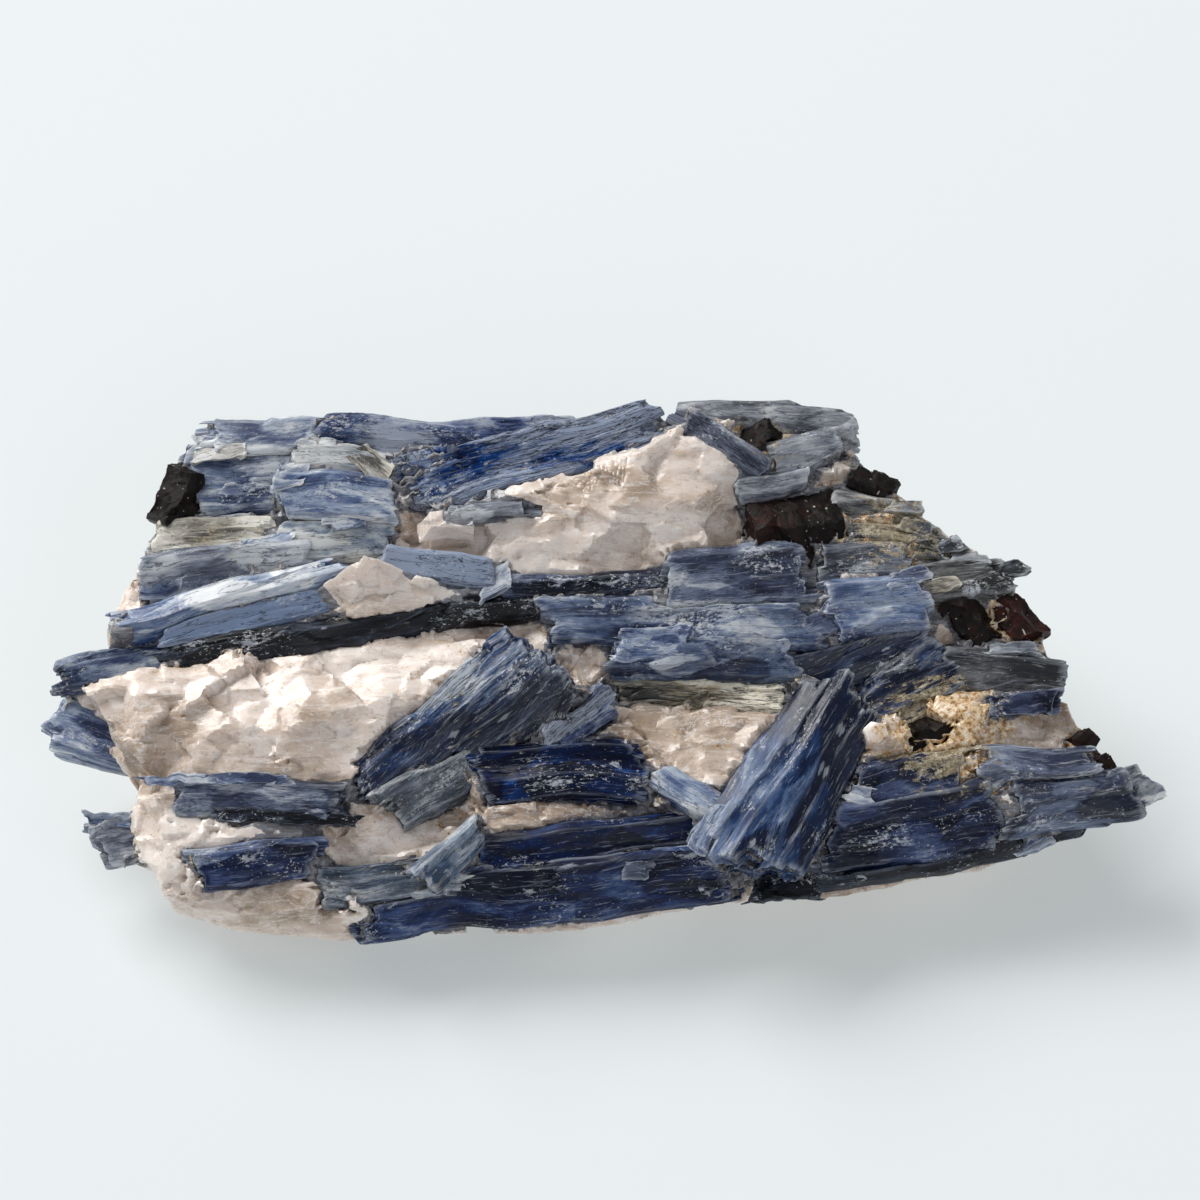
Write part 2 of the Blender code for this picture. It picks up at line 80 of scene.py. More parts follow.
def addNode(tree, kind, inputs=(), stops=(), **settings):  # a node with its settings, values and links
    node = tree.nodes.new(kind)
    for name, value in settings.items():
        setattr(node, name, value)
    sockets = [socket for socket in node.inputs if socket.enabled]
    for key, value in inputs.items() if isinstance(inputs, dict) else enumerate(inputs):
        socket = sockets[key] if isinstance(key, int) else next(s for s in sockets if s.name == key)
        if isinstance(value, bpy.types.Node):
            value = next(output for output in value.outputs if output.enabled)
        if isinstance(value, bpy.types.NodeSocket):
            tree.links.new(value, socket)
        else:
            socket.default_value = linear(value) if str(value).startswith("#") else value
    for index, (place, colour) in enumerate(stops):
        elements = node.color_ramp.elements
        element = elements[index] if index < 2 else elements.new(place)
        element.position = place
        element.color = linear(colour) if isinstance(colour, str) else (colour, colour, colour, 1.0)
    return node


def selectOnly(*objects):
    bpy.ops.object.select_all(action="DESELECT")
    for one in objects:
        one.select_set(True)
    bpy.context.view_layer.objects.active = objects[0]


def applyModifier(piece, kind, **settings):
    modifier = piece.modifiers.new(kind.title(), kind)
    for name, value in settings.items():
        setattr(modifier, name, value)
    selectOnly(piece)
    bpy.ops.object.modifier_apply(modifier=modifier.name)


def moveMesh(piece, matrix):
    piece.data.transform(matrix)
    piece.data.update()


def smoothByAngle(piece, degrees):
    selectOnly(piece)
    bpy.ops.object.shade_smooth_by_angle(angle=math.radians(degrees))


kyaniteLooks = {  # darkest, body, light and haze of cleavage; how pale, roughness, mirror, white flakes and painted glints, glow
    "kyanite_ink": {"deep": "#020306", "body": "#0a0d17", "light": "#1f2638", "haze": "#5d6675",
                    "pale": -0.02, "rough": 0.34, "mirror": 0.15, "white": 0.75, "glow": 0.1},
    "kyanite_deep": {"deep": "#050a1e", "body": "#1a2648", "light": "#44547a", "haze": "#99a0ae",
                     "pale": 0.02, "rough": 0.24, "mirror": 0.1, "white": 0.7, "glow": 0.15},
    "kyanite_slate": {"deep": "#0b132a", "body": "#303e5d", "light": "#62708a", "haze": "#b3b8be",
                      "pale": 0.03, "rough": 0.28, "mirror": 0.2, "white": 0.7, "glow": 0.25},
    "kyanite_pale": {"deep": "#1c2b4d", "body": "#536489", "light": "#919eb2", "haze": "#dadcde",
                     "pale": 0.045, "rough": 0.28, "mirror": 0.3, "white": 0.7, "glow": 0.35},
    "kyanite_grey": {"deep": "#121822", "body": "#4a5464", "light": "#858c95", "haze": "#c9cac9",
                     "pale": 0.03, "rough": 0.34, "mirror": 0.3, "white": 0.7, "glow": 0.35},
    "kyanite_straw": {"deep": "#1f1c17", "body": "#776c55", "light": "#b5a98d", "haze": "#e6dfcd",
                      "pale": 0.05, "rough": 0.40, "mirror": 0.3, "white": 0.7, "glow": 0.3},
}
kyaniteGrain = {  # noises drawn out along a blade: cells per mm along, across and through, detail, roughness, swirl
    "clouds": ((0.08, 0.24, 0.24), 7.0, 0.62, 0.6),
    "fibres": ((0.16, 1.5, 1.5), 8.0, 0.72, 0.2),
    "mottle": ((0.35, 0.8, 0.8), 9.0, 0.72, 0.5),
    "hairs": ((0.24, 4.0, 4.0), 3.0, 0.6, 0.0),
    "flakes": ((0.30, 0.75, 0.75), 12.0, 0.80, 0.3),
    "cracks": ((0.09, 0.8, 0.8), 6.0, 0.6, 0.5),
    "splits": ((0.11, 2.1, 2.1), 5.0, 0.65, 0.2),
    "grains": ((1.5, 2.8, 2.8), 6.0, 0.7, 0.0),
    "gather": ((0.10, 0.22, 0.22), 3.0, 0.5, 0.0),
    "ridges": ((0.25, 5.0, 5.0), 3.0, 0.6, 0.0),
    "crumbs": ((1.6, 1.6, 1.6), 9.0, 0.8, 0.0),
    "specks": ((3.2, 3.2, 3.2), 5.0, 0.6, 0.0),
}
kyaniteShifts = {  # a pattern that another one shifts: the pattern, what shifts it and by how much
    "stained": ("flakes", "stain", 0.35), "flecksAndGlints": ("flakes", "gather", 0.4), "bits": ("grains", "gather", 0.55),
    "pits": ("grains", "gather", -0.4), "contact": ("crumbs", "near", -0.35),
}
kyaniteShares = {  # how much each pattern counts in the colour, the roughness and the relief
    "tint": {"clouds": 0.66, "patchy": 0.35, "comb": 0.32, "mottle": 0.30, "facet0": 0.22, "facet1": 0.18},
    "gloss": {"crusted": 0.3, "facet1": 0.16},
    "relief": {"ridges": 0.5, "flakes": 1.4, "contact": 1.0},
}


def newMaterial(name, sockets):
    material = bpy.data.materials.new(name)
    material.use_nodes = True
    shader = material.node_tree.nodes["Principled BSDF"]
    for socket, value in sockets.items():
        shader.inputs[socket].default_value = value
    return material, material.node_tree, shader


def drawPatterns(tree, vector, known, grains, shifts):  # all that a colour can follow, by name
    pattern = {name: addNode(tree, "ShaderNodeAttribute", attribute_name=name).outputs["Fac"] for name in known}
    pattern["bend"] = addNode(tree, "ShaderNodeNewGeometry").outputs["Pointiness"]
    for name, (scale, detail, roughness, swirl) in grains.items():
        drawn = addNode(tree, "ShaderNodeMapping", {"Vector": vector, "Scale": scale})
        pattern[name] = addNode(tree, "ShaderNodeTexNoise", {
            "Vector": drawn, "Scale": 1.0, "Detail": detail, "Roughness": roughness, "Distortion": swirl})
    for name, (base, shift, share) in shifts.items():
        pattern[name] = addShares(tree, pattern, pattern[base], {shift: share})
    return pattern


def addShares(tree, pattern, total, shares):  # patterns on top of a total, each by its share
    for name, share in shares.items():
        total = addNode(tree, "ShaderNodeMath", [pattern[name], share, total], operation="MULTIPLY_ADD")
    return total


def layOver(tree, pattern, colour, overlays):  # each follows a pattern: from where it shows, how much, its colour
    for name, stops, over in overlays:
        where = addNode(tree, "ShaderNodeValToRGB", [pattern[name]], stops=stops)
        colour = addNode(tree, "ShaderNodeMix", {"Factor": where, "A": colour, "B": over}, data_type="RGBA")
    return colour.outputs[2], where


def makeKyanite(slot, look):
    # kyanite, broken along its cleavage: glassy faces with a pearly haze, blue in clouds and streaks that run the
    # length of a blade, whitish where it is bruised, and pale grains of quartz still cling along the contacts
    material, tree, shader = newMaterial("Cleaved kyanite, " + slot.split("_")[1], {
        "IOR": 1.72, "Specular IOR Level": look["mirror"], "Subsurface Weight": look["glow"],
        "Subsurface Radius": (0.5, 0.7, 1.0), "Subsurface Scale": 0.8 * mm})
    grain = addNode(tree, "ShaderNodeAttribute", attribute_name="grain").outputs["Vector"]
    known = ("tone", "near", "stain", "colour", "combed", "facet0", "facet1")
    pattern = drawPatterns(tree, grain, known, kyaniteGrain, kyaniteShifts)
    place = addNode(tree, "ShaderNodeTexCoord").outputs["Object"]
    pattern["patchy"] = addNode(tree, "ShaderNodeTexNoise", {"Vector": place, "Scale": 90.0, "Detail": 4.0})
    comb = addNode(tree, "ShaderNodeMath", [pattern["fibres"], 0.5], operation="SUBTRACT")
    pattern["comb"] = addNode(tree, "ShaderNodeMath", [comb, pattern["combed"], 0.5], operation="MULTIPLY_ADD")
    split = addNode(tree, "ShaderNodeMath", [pattern["splits"], 0.5], operation="SUBTRACT")
    split = addNode(tree, "ShaderNodeMath", [split], operation="ABSOLUTE")
    apart = addNode(tree, "ShaderNodeMath", [pattern["combed"], -0.03, 0.05], operation="MULTIPLY_ADD")
    pattern["split"] = addNode(tree, "ShaderNodeMath", [split, apart], operation="ADD")
    tint = addShares(tree, pattern, pattern["tone"], kyaniteShares["tint"])
    tint = addNode(tree, "ShaderNodeMapRange", [tint, 0.65 - look["pale"], 1.10 - look["pale"]])
    colour = addNode(tree, "ShaderNodeValToRGB", [tint], stops=[
        (0.12, look["deep"]), (0.95, look["haze"]), (0.42, look["body"]), (0.68, look["light"])])
    colour = addNode(tree, "ShaderNodeHueSaturation", {"Color": colour, "Saturation": pattern["colour"]})
    crust = addNode(tree, "ShaderNodeValToRGB", [pattern["specks"]], stops=[
        (0.38, "#1d1c1e"), (0.70, "#d8d0c6"), (0.50, "#544f4a"), (0.60, "#9c9285")])
    ochre = addNode(tree, "ShaderNodeValToRGB", [pattern["crumbs"]], stops=[
        (0.38, "#4b4131"), (0.66, "#e4dccc"), (0.47, "#8e7f62"), (0.56, "#b9ac90")])
    colour, pattern["crusted"] = layOver(tree, pattern, colour, [
        ("cracks", [(0.484, 0.0), (0.516, 0.0), (0.494, 0.75), (0.506, 0.75)], look["deep"]),
        ("split", [(0.018, 0.9), (0.032, 0.0)], look["deep"]),
        # painted shade: hollows and creases, where pointiness is low, are darkened to the deepest blue
        ("bend", [(0.42, 0.5), (0.48, 0.0)], look["deep"]),
        ("bend", [(0.51, 0.0), (0.57, 0.55)], look["haze"]),
        ("hairs", [(0.60, 0.0), (0.66, 0.35)], look["haze"]),
        # painted glints and white flakes: clustered whitish flecks in the colour
        ("flecksAndGlints", [(0.805, 0.0), (0.83, look["white"])], "#b4b9c2"),
        ("stained", [(0.66, 0.0), (0.70, 0.8)], ochre),
        ("bits", [(0.93, 0.0), (0.95, look["white"])], "#d0d1d0"),
        ("pits", [(0.135, 0.8), (0.165, 0.0)], look["deep"]),
        ("specks", [(0.69, 0.0), (0.73, 0.75)], "#e3e6ea"),
        ("contact", [(0.50, 0.0), (0.54, 0.8)], crust),
    ])
    tree.links.new(colour, shader.inputs["Base Color"])
    gloss = addNode(tree, "ShaderNodeMapRange", {"Value": pattern["fibres"], "From Min": 0.3, "From Max": 0.7,
                                                 "To Min": look["rough"] - 0.10, "To Max": look["rough"] + 0.14})
    gloss = addShares(tree, pattern, gloss, kyaniteShares["gloss"])
    tree.links.new(gloss.outputs[0], shader.inputs["Roughness"])
    relief = addShares(tree, pattern, pattern["comb"], kyaniteShares["relief"])
    bump = addNode(tree, "ShaderNodeBump", {"Height": relief, "Strength": 0.45, "Distance": 0.07 * mm})
    tree.links.new(bump.outputs[0], shader.inputs["Normal"])
    return material


quartzGrain = {  # noises in the quartz: cells per mm along, across and up, detail, roughness, swirl
    "clouds": ((0.05, 0.12, 0.12), 5.0, 0.55, 0.4),
    "sugar": ((0.65, 1.1, 1.1), 7.0, 0.75, 0.0),
    "fibres": ((0.35, 2.2, 2.2), 9.0, 0.8, 0.0),
    "lumps": ((0.6, 0.6, 0.6), 8.0, 0.75, 0.0),
    "crumbs": ((1.5, 1.5, 1.5), 6.0, 0.7, 0.0),
    "veins": ((0.10, 0.45, 0.45), 8.0, 0.65, 0.8),
}
quartzShifts = {"closeBy": ("lumps", "near", -0.45), "stained": ("lumps", "stain", 0.35)}
quartzShares = {  # how much each pattern makes the quartz, and the dirt in its gaps, whiter
    # painted shade: the quartz and the dirt in its gaps grow darker towards the front
    "veil": {"facet0": 0.18, "facet1": 0.12, "shadeTowardFront": 0.0012, "milk": 0.12}, "dirt": {"shadeTowardFront": 0.0012},
}


def makeMilkyQuartz():
    # milky quartz, broken by hammer: uneven glassy faces, clear grey-brown zones between white veils, and a dirty
    # mix of fine kyanite, mica and quartz where it meets the blades
    material, tree, shader = newMaterial("Broken milky quartz", {
        "IOR": 1.544, "Coat Weight": 0.2, "Coat Roughness": 0.15, "Subsurface Weight": 0.45,
        "Subsurface Radius": (1.0, 0.85, 0.7), "Subsurface Scale": 1.4 * mm})
    place = addNode(tree, "ShaderNodeTexCoord").outputs["Object"]
    place = addNode(tree, "ShaderNodeMapping", {"Vector": place, "Scale": (1 / mm, 1 / mm, 1 / mm)})
    known = ("near", "room", "stain", "milk", "facet0", "facet1")
    pattern = drawPatterns(tree, place, known, quartzGrain, quartzShifts)
    # painted shade: how far back a point lies, so that the front is painted darker
    pattern["shadeTowardFront"] = addNode(tree, "ShaderNodeSeparateXYZ", [place]).outputs["Y"]
    veil = addShares(tree, pattern, pattern["clouds"], quartzShares["veil"])
    colour = addNode(tree, "ShaderNodeValToRGB", [veil], stops=[
        (0.32, "#957f6d"), (0.64, "#ebddd2"), (0.41, "#b7a28e"), (0.48, "#cebaa9"), (0.56, "#dfcdbf")])
    mixture = addShares(tree, pattern, pattern["fibres"], quartzShares["dirt"])
    dirt = addNode(tree, "ShaderNodeValToRGB", [mixture], stops=[
        (0.37, "#12141a"), (0.72, "#e6e0d8"), (0.46, "#333b4a"), (0.53, "#5b6677"), (0.60, "#8b8f94"),
        (0.66, "#bcb5ab")])
    ochre = addNode(tree, "ShaderNodeValToRGB", [pattern["crumbs"]], stops=[
        (0.33, "#4e3c28"), (0.62, "#eee3d2"), (0.41, "#9c6f3a"), (0.47, "#cba36c"), (0.54, "#e2cba8")])
    tight = addNode(tree, "ShaderNodeMapRange", [pattern["room"], 0.4, 1.0, 0.7, -0.05])
    pattern["closeBy"] = addNode(tree, "ShaderNodeMath", [pattern["closeBy"], tight], operation="ADD")
    colour, _ = layOver(tree, pattern, colour, [
        ("sugar", [(0.33, 0.45), (0.43, 0.0)], "#7f7268"),
        ("sugar", [(0.57, 0.0), (0.67, 0.45)], "#f1eeea"),
        ("veins", [(0.488, 0.0), (0.512, 0.0), (0.497, 0.7), (0.503, 0.7)], "#f6f3f0"),
        ("veins", [(0.562, 0.0), (0.578, 0.0), (0.568, 0.6), (0.572, 0.6)], "#6f6358"),
        # painted shade: hollows and creases, where pointiness is low, are darkened
        ("bend", [(0.40, 0.4), (0.47, 0.0)], "#8a7c6c"),
        ("bend", [(0.51, 0.0), (0.58, 0.4)], "#f2eeea"),
        ("closeBy", [(0.46, 0.0), (0.53, 0.85)], dirt),
        ("stained", [(0.60, 0.0), (0.66, 0.9)], ochre),
    ])
    tree.links.new(colour, shader.inputs["Base Color"])
    gloss = addNode(tree, "ShaderNodeMapRange", {"Value": pattern["sugar"], "From Min": 0.3, "From Max": 0.7,
                                                 "To Min": 0.12, "To Max": 0.45})
    tree.links.new(gloss.outputs[0], shader.inputs["Roughness"])
    bump = addNode(tree, "ShaderNodeBump", {"Height": pattern["sugar"], "Strength": 0.4, "Distance": 0.2 * mm})
    tree.links.new(bump.outputs[0], shader.inputs["Normal"])
    return material


def makeStaurolite():
    # staurolite: brown so deep that it looks black, half matt, sown with bright points that are painted glints of
    # mica and quartz
    material, tree, shader = newMaterial("Rough staurolite", {
        "Roughness": 0.42, "IOR": 1.74, "Specular IOR Level": 0.1})
    grain = addNode(tree, "ShaderNodeAttribute", attribute_name="grain").outputs["Vector"]
    tone = addNode(tree, "ShaderNodeAttribute", attribute_name="tone").outputs["Fac"]
    noise = addNode(tree, "ShaderNodeTexNoise", {"Vector": grain, "Scale": 0.8, "Detail": 7.0, "Roughness": 0.7})
    tint = addNode(tree, "ShaderNodeMath", [noise, tone], operation="ADD")
    colour = addNode(tree, "ShaderNodeValToRGB", [tint], stops=[
        (0.35, "#050302"), (0.90, "#4a1a11"), (0.58, "#130b07"), (0.72, "#2c130e")])
    # painted glints: small bright points in the colour, where the stone sparkles
    points = addNode(tree, "ShaderNodeTexVoronoi", {"Vector": grain, "Scale": 1.8})
    size = addNode(tree, "ShaderNodeMapRange", {"Value": points.outputs["Color"], "From Min": 0.60,
                                                "From Max": 1.0, "To Min": 0.0, "To Max": 0.34})
    point = addNode(tree, "ShaderNodeMath", [points.outputs["Distance"], size], operation="LESS_THAN")
    colour = addNode(tree, "ShaderNodeMix", {"Factor": point, "A": colour, "B": "#b9aca2"}, data_type="RGBA")
    tree.links.new(colour.outputs[2], shader.inputs["Base Color"])
    bump = addNode(tree, "ShaderNodeBump", {"Height": noise, "Strength": 0.8, "Distance": 0.4 * mm})
    tree.links.new(bump.outputs[0], shader.inputs["Normal"])
    return material


materials = {slot: makeKyanite(slot, look) for slot, look in kyaniteLooks.items()}
materials["quartz"] = makeMilkyQuartz()
materials["staurolite"] = makeStaurolite()
print("materials:", len(materials))


# stone breaks in flat patches, each with its own height and lean, so the surface is shifted patch by patch
def groupTree(name):
    tree = bpy.data.node_groups.new(name, "GeometryNodeTree")
    tree.interface.new_socket("Geometry", in_out="INPUT", socket_type="NodeSocketGeometry")
    tree.interface.new_socket("Geometry", in_out="OUTPUT", socket_type="NodeSocketGeometry")
    return tree, addNode(tree, "NodeGroupInput")


def togetherIn(tree, pieces):
    group = bpy.data.collections.new("together")
    for piece in pieces:
        group.objects.link(piece)
    instances = addNode(tree, "GeometryNodeCollectionInfo", {"Collection": group})
    return addNode(tree, "GeometryNodeRealizeInstances", [instances])


half = (0.5, 0.5, 0.5)  # the middle of a random colour


def patchNodes(tree, density):  # where a point lies in its patch, and what chance gave the patch
    grain = addNode(tree, "GeometryNodeInputNamedAttribute", {"Name": "grain"}, data_type="FLOAT_VECTOR")
    scaled = addNode(tree, "ShaderNodeVectorMath", [grain, density], operation="MULTIPLY")
    cells = addNode(tree, "ShaderNodeTexVoronoi", {"Vector": scaled, "Scale": 1.0})
    within = addNode(tree, "ShaderNodeVectorMath", [scaled, cells.outputs["Position"]], operation="SUBTRACT")
    chance = addNode(tree, "ShaderNodeVectorMath", [cells.outputs["Color"], half], operation="SUBTRACT")
    return within, chance


def fractureTree(name, layers, splinters=None, first=0):  # patches step up and down, and splinters end short
    tree, surface = groupTree(name)
    normal = addNode(tree, "GeometryNodeInputNormal")
    combed = addNode(tree, "GeometryNodeInputNamedAttribute", {"Name": "combed"})
    for index, (density, height, slope) in enumerate(layers):
        within, chance = patchNodes(tree, density)
        parts = addNode(tree, "ShaderNodeSeparateXYZ", [chance])
        lean = addNode(tree, "ShaderNodeVectorMath", [within, chance], operation="DOT_PRODUCT")
        rise = addNode(tree, "ShaderNodeMath", [lean.outputs["Value"], 2 * slope / max(density)],
                       operation="MULTIPLY")
        rise = addNode(tree, "ShaderNodeMath", [parts.outputs["X"], 2 * height, rise], operation="MULTIPLY_ADD")
        rise = addNode(tree, "ShaderNodeMath", [rise, combed], operation="MULTIPLY")
        offset = addNode(tree, "ShaderNodeVectorMath", {0: normal, "Scale": rise}, operation="SCALE")
        surface = addNode(tree, "GeometryNodeStoreNamedAttribute", {
            "Geometry": surface, "Name": f"facet{index + first}", "Value": parts.outputs["Y"]})
        surface = addNode(tree, "GeometryNodeSetPosition", {"Geometry": surface, "Offset": offset})
    for density, length in splinters or []:
        within, chance = patchNodes(tree, (0.0, density, density))
        parts = addNode(tree, "ShaderNodeSeparateXYZ", [chance])
        pick = addNode(tree, "ShaderNodeMath", [parts.outputs["X"], 0.5], operation="ADD")
        reach = addNode(tree, "GeometryNodeInputNamedAttribute", {"Name": "reach"})
        cube = addNode(tree, "ShaderNodeMath", [reach, 3.0], operation="POWER")
        back = addNode(tree, "ShaderNodeMath", [cube, pick], operation="MULTIPLY")
        back = addNode(tree, "ShaderNodeMath", [back, -length], operation="MULTIPLY")
        offset = addNode(tree, "ShaderNodeCombineXYZ", [back])
        surface = addNode(tree, "GeometryNodeSetPosition", {"Geometry": surface, "Offset": offset})
    addNode(tree, "NodeGroupOutput", [surface])
    return tree


warpWaves = [(1 / 15, (2.6, 2.6, 2.6)), (1 / 4, (0.5, 0.5, 0.2))]  # waves per mm, how far they push in mm
chipWaves = [(1 / 2.0, (2.0, 1.4, 0.1))]


def makeWarp(allWaves, unit, lowest):  # edges and rock wander together, and nothing reaches under the floor
    tree, surface = groupTree("Warp")
    place = addNode(tree, "GeometryNodeInputPosition").outputs[0]
    moved = place
    for waves, push in allWaves:
        drift = addNode(tree, "ShaderNodeTexNoise", {"Vector": place, "Scale": waves / unit, "Detail": 1.0})
        drift = addNode(tree, "ShaderNodeVectorMath", [drift.outputs["Color"], half], operation="SUBTRACT")
        drift = addNode(tree, "ShaderNodeVectorMath", [drift, Vector(push) * unit], operation="MULTIPLY")
        moved = addNode(tree, "ShaderNodeVectorMath", [moved, drift], operation="ADD")
    moved = addNode(tree, "ShaderNodeVectorMath", [moved, (farDown, farDown, lowest)], operation="MAXIMUM")
    surface = addNode(tree, "GeometryNodeSetPosition", {"Geometry": surface, "Position": moved})
    addNode(tree, "NodeGroupOutput", [surface])
    return tree


warp = makeWarp(warpWaves, mm, lowCorner.z + 0.02 * mm)  # just above the floor, so that nothing flickers there


facetBlur = 12  # passes that even out which way a patch faces


def facetTree(levels, swell=1.0):  # each patch of the surface is cut to a plane of its own
    tree, surface = groupTree("Facets")
    for index, (density, lean, limit) in enumerate(levels):
        place = addNode(tree, "GeometryNodeInputPosition").outputs[0]
        scaled = addNode(tree, "ShaderNodeVectorMath", [place, density], operation="MULTIPLY")
        cells = addNode(tree, "ShaderNodeTexVoronoi", {"Vector": scaled, "Scale": 1.0})
        heart = addNode(tree, "ShaderNodeVectorMath", [cells.outputs["Position"], density], operation="DIVIDE")
        smooth = addNode(tree, "GeometryNodeBlurAttribute", {
            "Value": addNode(tree, "GeometryNodeInputNormal"), "Iterations": facetBlur}, data_type="FLOAT_VECTOR")
        nearest = addNode(tree, "GeometryNodeProximity", {0: surface, "Sample Position": heart})
        facing = addNode(tree, "GeometryNodeSampleNearestSurface", {
            "Mesh": surface, "Value": smooth, "Sample Position": heart}, data_type="FLOAT_VECTOR")
        chance = addNode(tree, "ShaderNodeVectorMath", [cells.outputs["Color"], half], operation="SUBTRACT")
        tilt = addNode(tree, "ShaderNodeVectorMath", {0: chance, "Scale": 2 * lean}, operation="SCALE")
        plane = addNode(tree, "ShaderNodeVectorMath", [facing, tilt], operation="ADD")
        plane = addNode(tree, "ShaderNodeVectorMath", [plane], operation="NORMALIZE")
        away = addNode(tree, "ShaderNodeVectorMath", [nearest.outputs["Position"], place], operation="SUBTRACT")
        rise = addNode(tree, "ShaderNodeVectorMath", [away, plane], operation="DOT_PRODUCT")
        rise = addNode(tree, "ShaderNodeClamp", {
            "Value": rise.outputs["Value"], "Min": -limit, "Max": limit * swell})
        offset = addNode(tree, "ShaderNodeVectorMath", {0: plane, "Scale": rise}, operation="SCALE")
        parts = addNode(tree, "ShaderNodeSeparateXYZ", [chance])
        surface = addNode(tree, "GeometryNodeStoreNamedAttribute", {
            "Geometry": surface, "Name": f"facet{index}", "Value": parts.outputs["Y"]})
        surface = addNode(tree, "GeometryNodeSetPosition", {"Geometry": surface, "Offset": offset})
    addNode(tree, "NodeGroupOutput", [surface])
    return tree


def storeValues(mesh, name, kind, values):
    field = "vector" if kind == "FLOAT_VECTOR" else "value"
    mesh.attributes.new(name, kind, "POINT").data.foreach_set(field, np.asarray(values, dtype=np.float32).ravel())


def placesOf(mesh):
    places = np.empty(len(mesh.vertices) * 3, dtype=np.float32)
    mesh.vertices.foreach_get("co", places)
    return places.reshape(-1, 3)


def copyOfNode(name, newName):
    piece = bpy.data.objects.new(newName, frame["nodes"][name].data.copy())
    bpy.context.scene.collection.objects.link(piece)
    piece.data.materials.clear()
    selectOnly(piece)
    bpy.ops.object.mode_set(mode="EDIT")
    bpy.ops.mesh.select_all(action="SELECT")
    bpy.ops.mesh.remove_doubles(threshold=0.01 * mm)
    bpy.ops.object.mode_set(mode="OBJECT")
    return piece


def remesh(piece, voxel):
    piece.data.remesh_voxel_size = voxel
    selectOnly(piece)
    bpy.ops.object.voxel_remesh()


def closeGaps(piece, radius, voxel):  # fills what a ball of this radius can't enter
    before = bpy.data.objects.new("before", piece.data.copy())
    applyModifier(piece, "DISPLACE", mid_level=0.0, strength=radius)
    remesh(piece, voxel)
    tree, surface = groupTree("Back to the surface")
    nearest = addNode(tree, "GeometryNodeProximity", [togetherIn(tree, [before])])
    surface = addNode(tree, "GeometryNodeSetPosition", {
        "Geometry": surface, "Position": nearest.outputs["Position"]})
    addNode(tree, "NodeGroupOutput", [surface])
    applyModifier(piece, "NODES", node_group=tree)
    remesh(piece, voxel)
    bpy.data.objects.remove(before)


bladeShape = {  # in mm; a layer has patches per mm, height and slope, a splinter how many per mm and how short
    "voxel": 0.22, "squeeze": 0.35, "close": 0.75, "grow": 0.14, "smooth": 14, "lengthen": 1.4, "slant": 0.4,
    "layers": [((0.07, 0.2, 0.2), 0.26, 0.06), ((0.12, 0.45, 0.45), 0.07, 0.06), ((0.5, 2.0, 2.0), 0.008, 0.03)],
    "splinters": [(0.28, 3.2), (0.8, 0.7)],
}
stubShape = {
    "voxel": 0.25, "squeeze": 1.0, "close": 0.3, "grow": 0.12, "smooth": 14, "lengthen": 0.0, "slant": 0.0,
    "facets": [((0.16, 0.16, 0.16), 0.12, 0.8), ((0.5, 0.5, 0.5), 0.12, 0.2)],
    "layers": [((1.8, 1.8, 1.8), 0.04, 0.14)],
}
bladeShape["breaks"] = [fractureTree("Fracture", bladeShape["layers"], bladeShape["splinters"])]
stubShape["breaks"] = [facetTree(stubShape["facets"]), fractureTree("Rough", stubShape["layers"], first=2)]

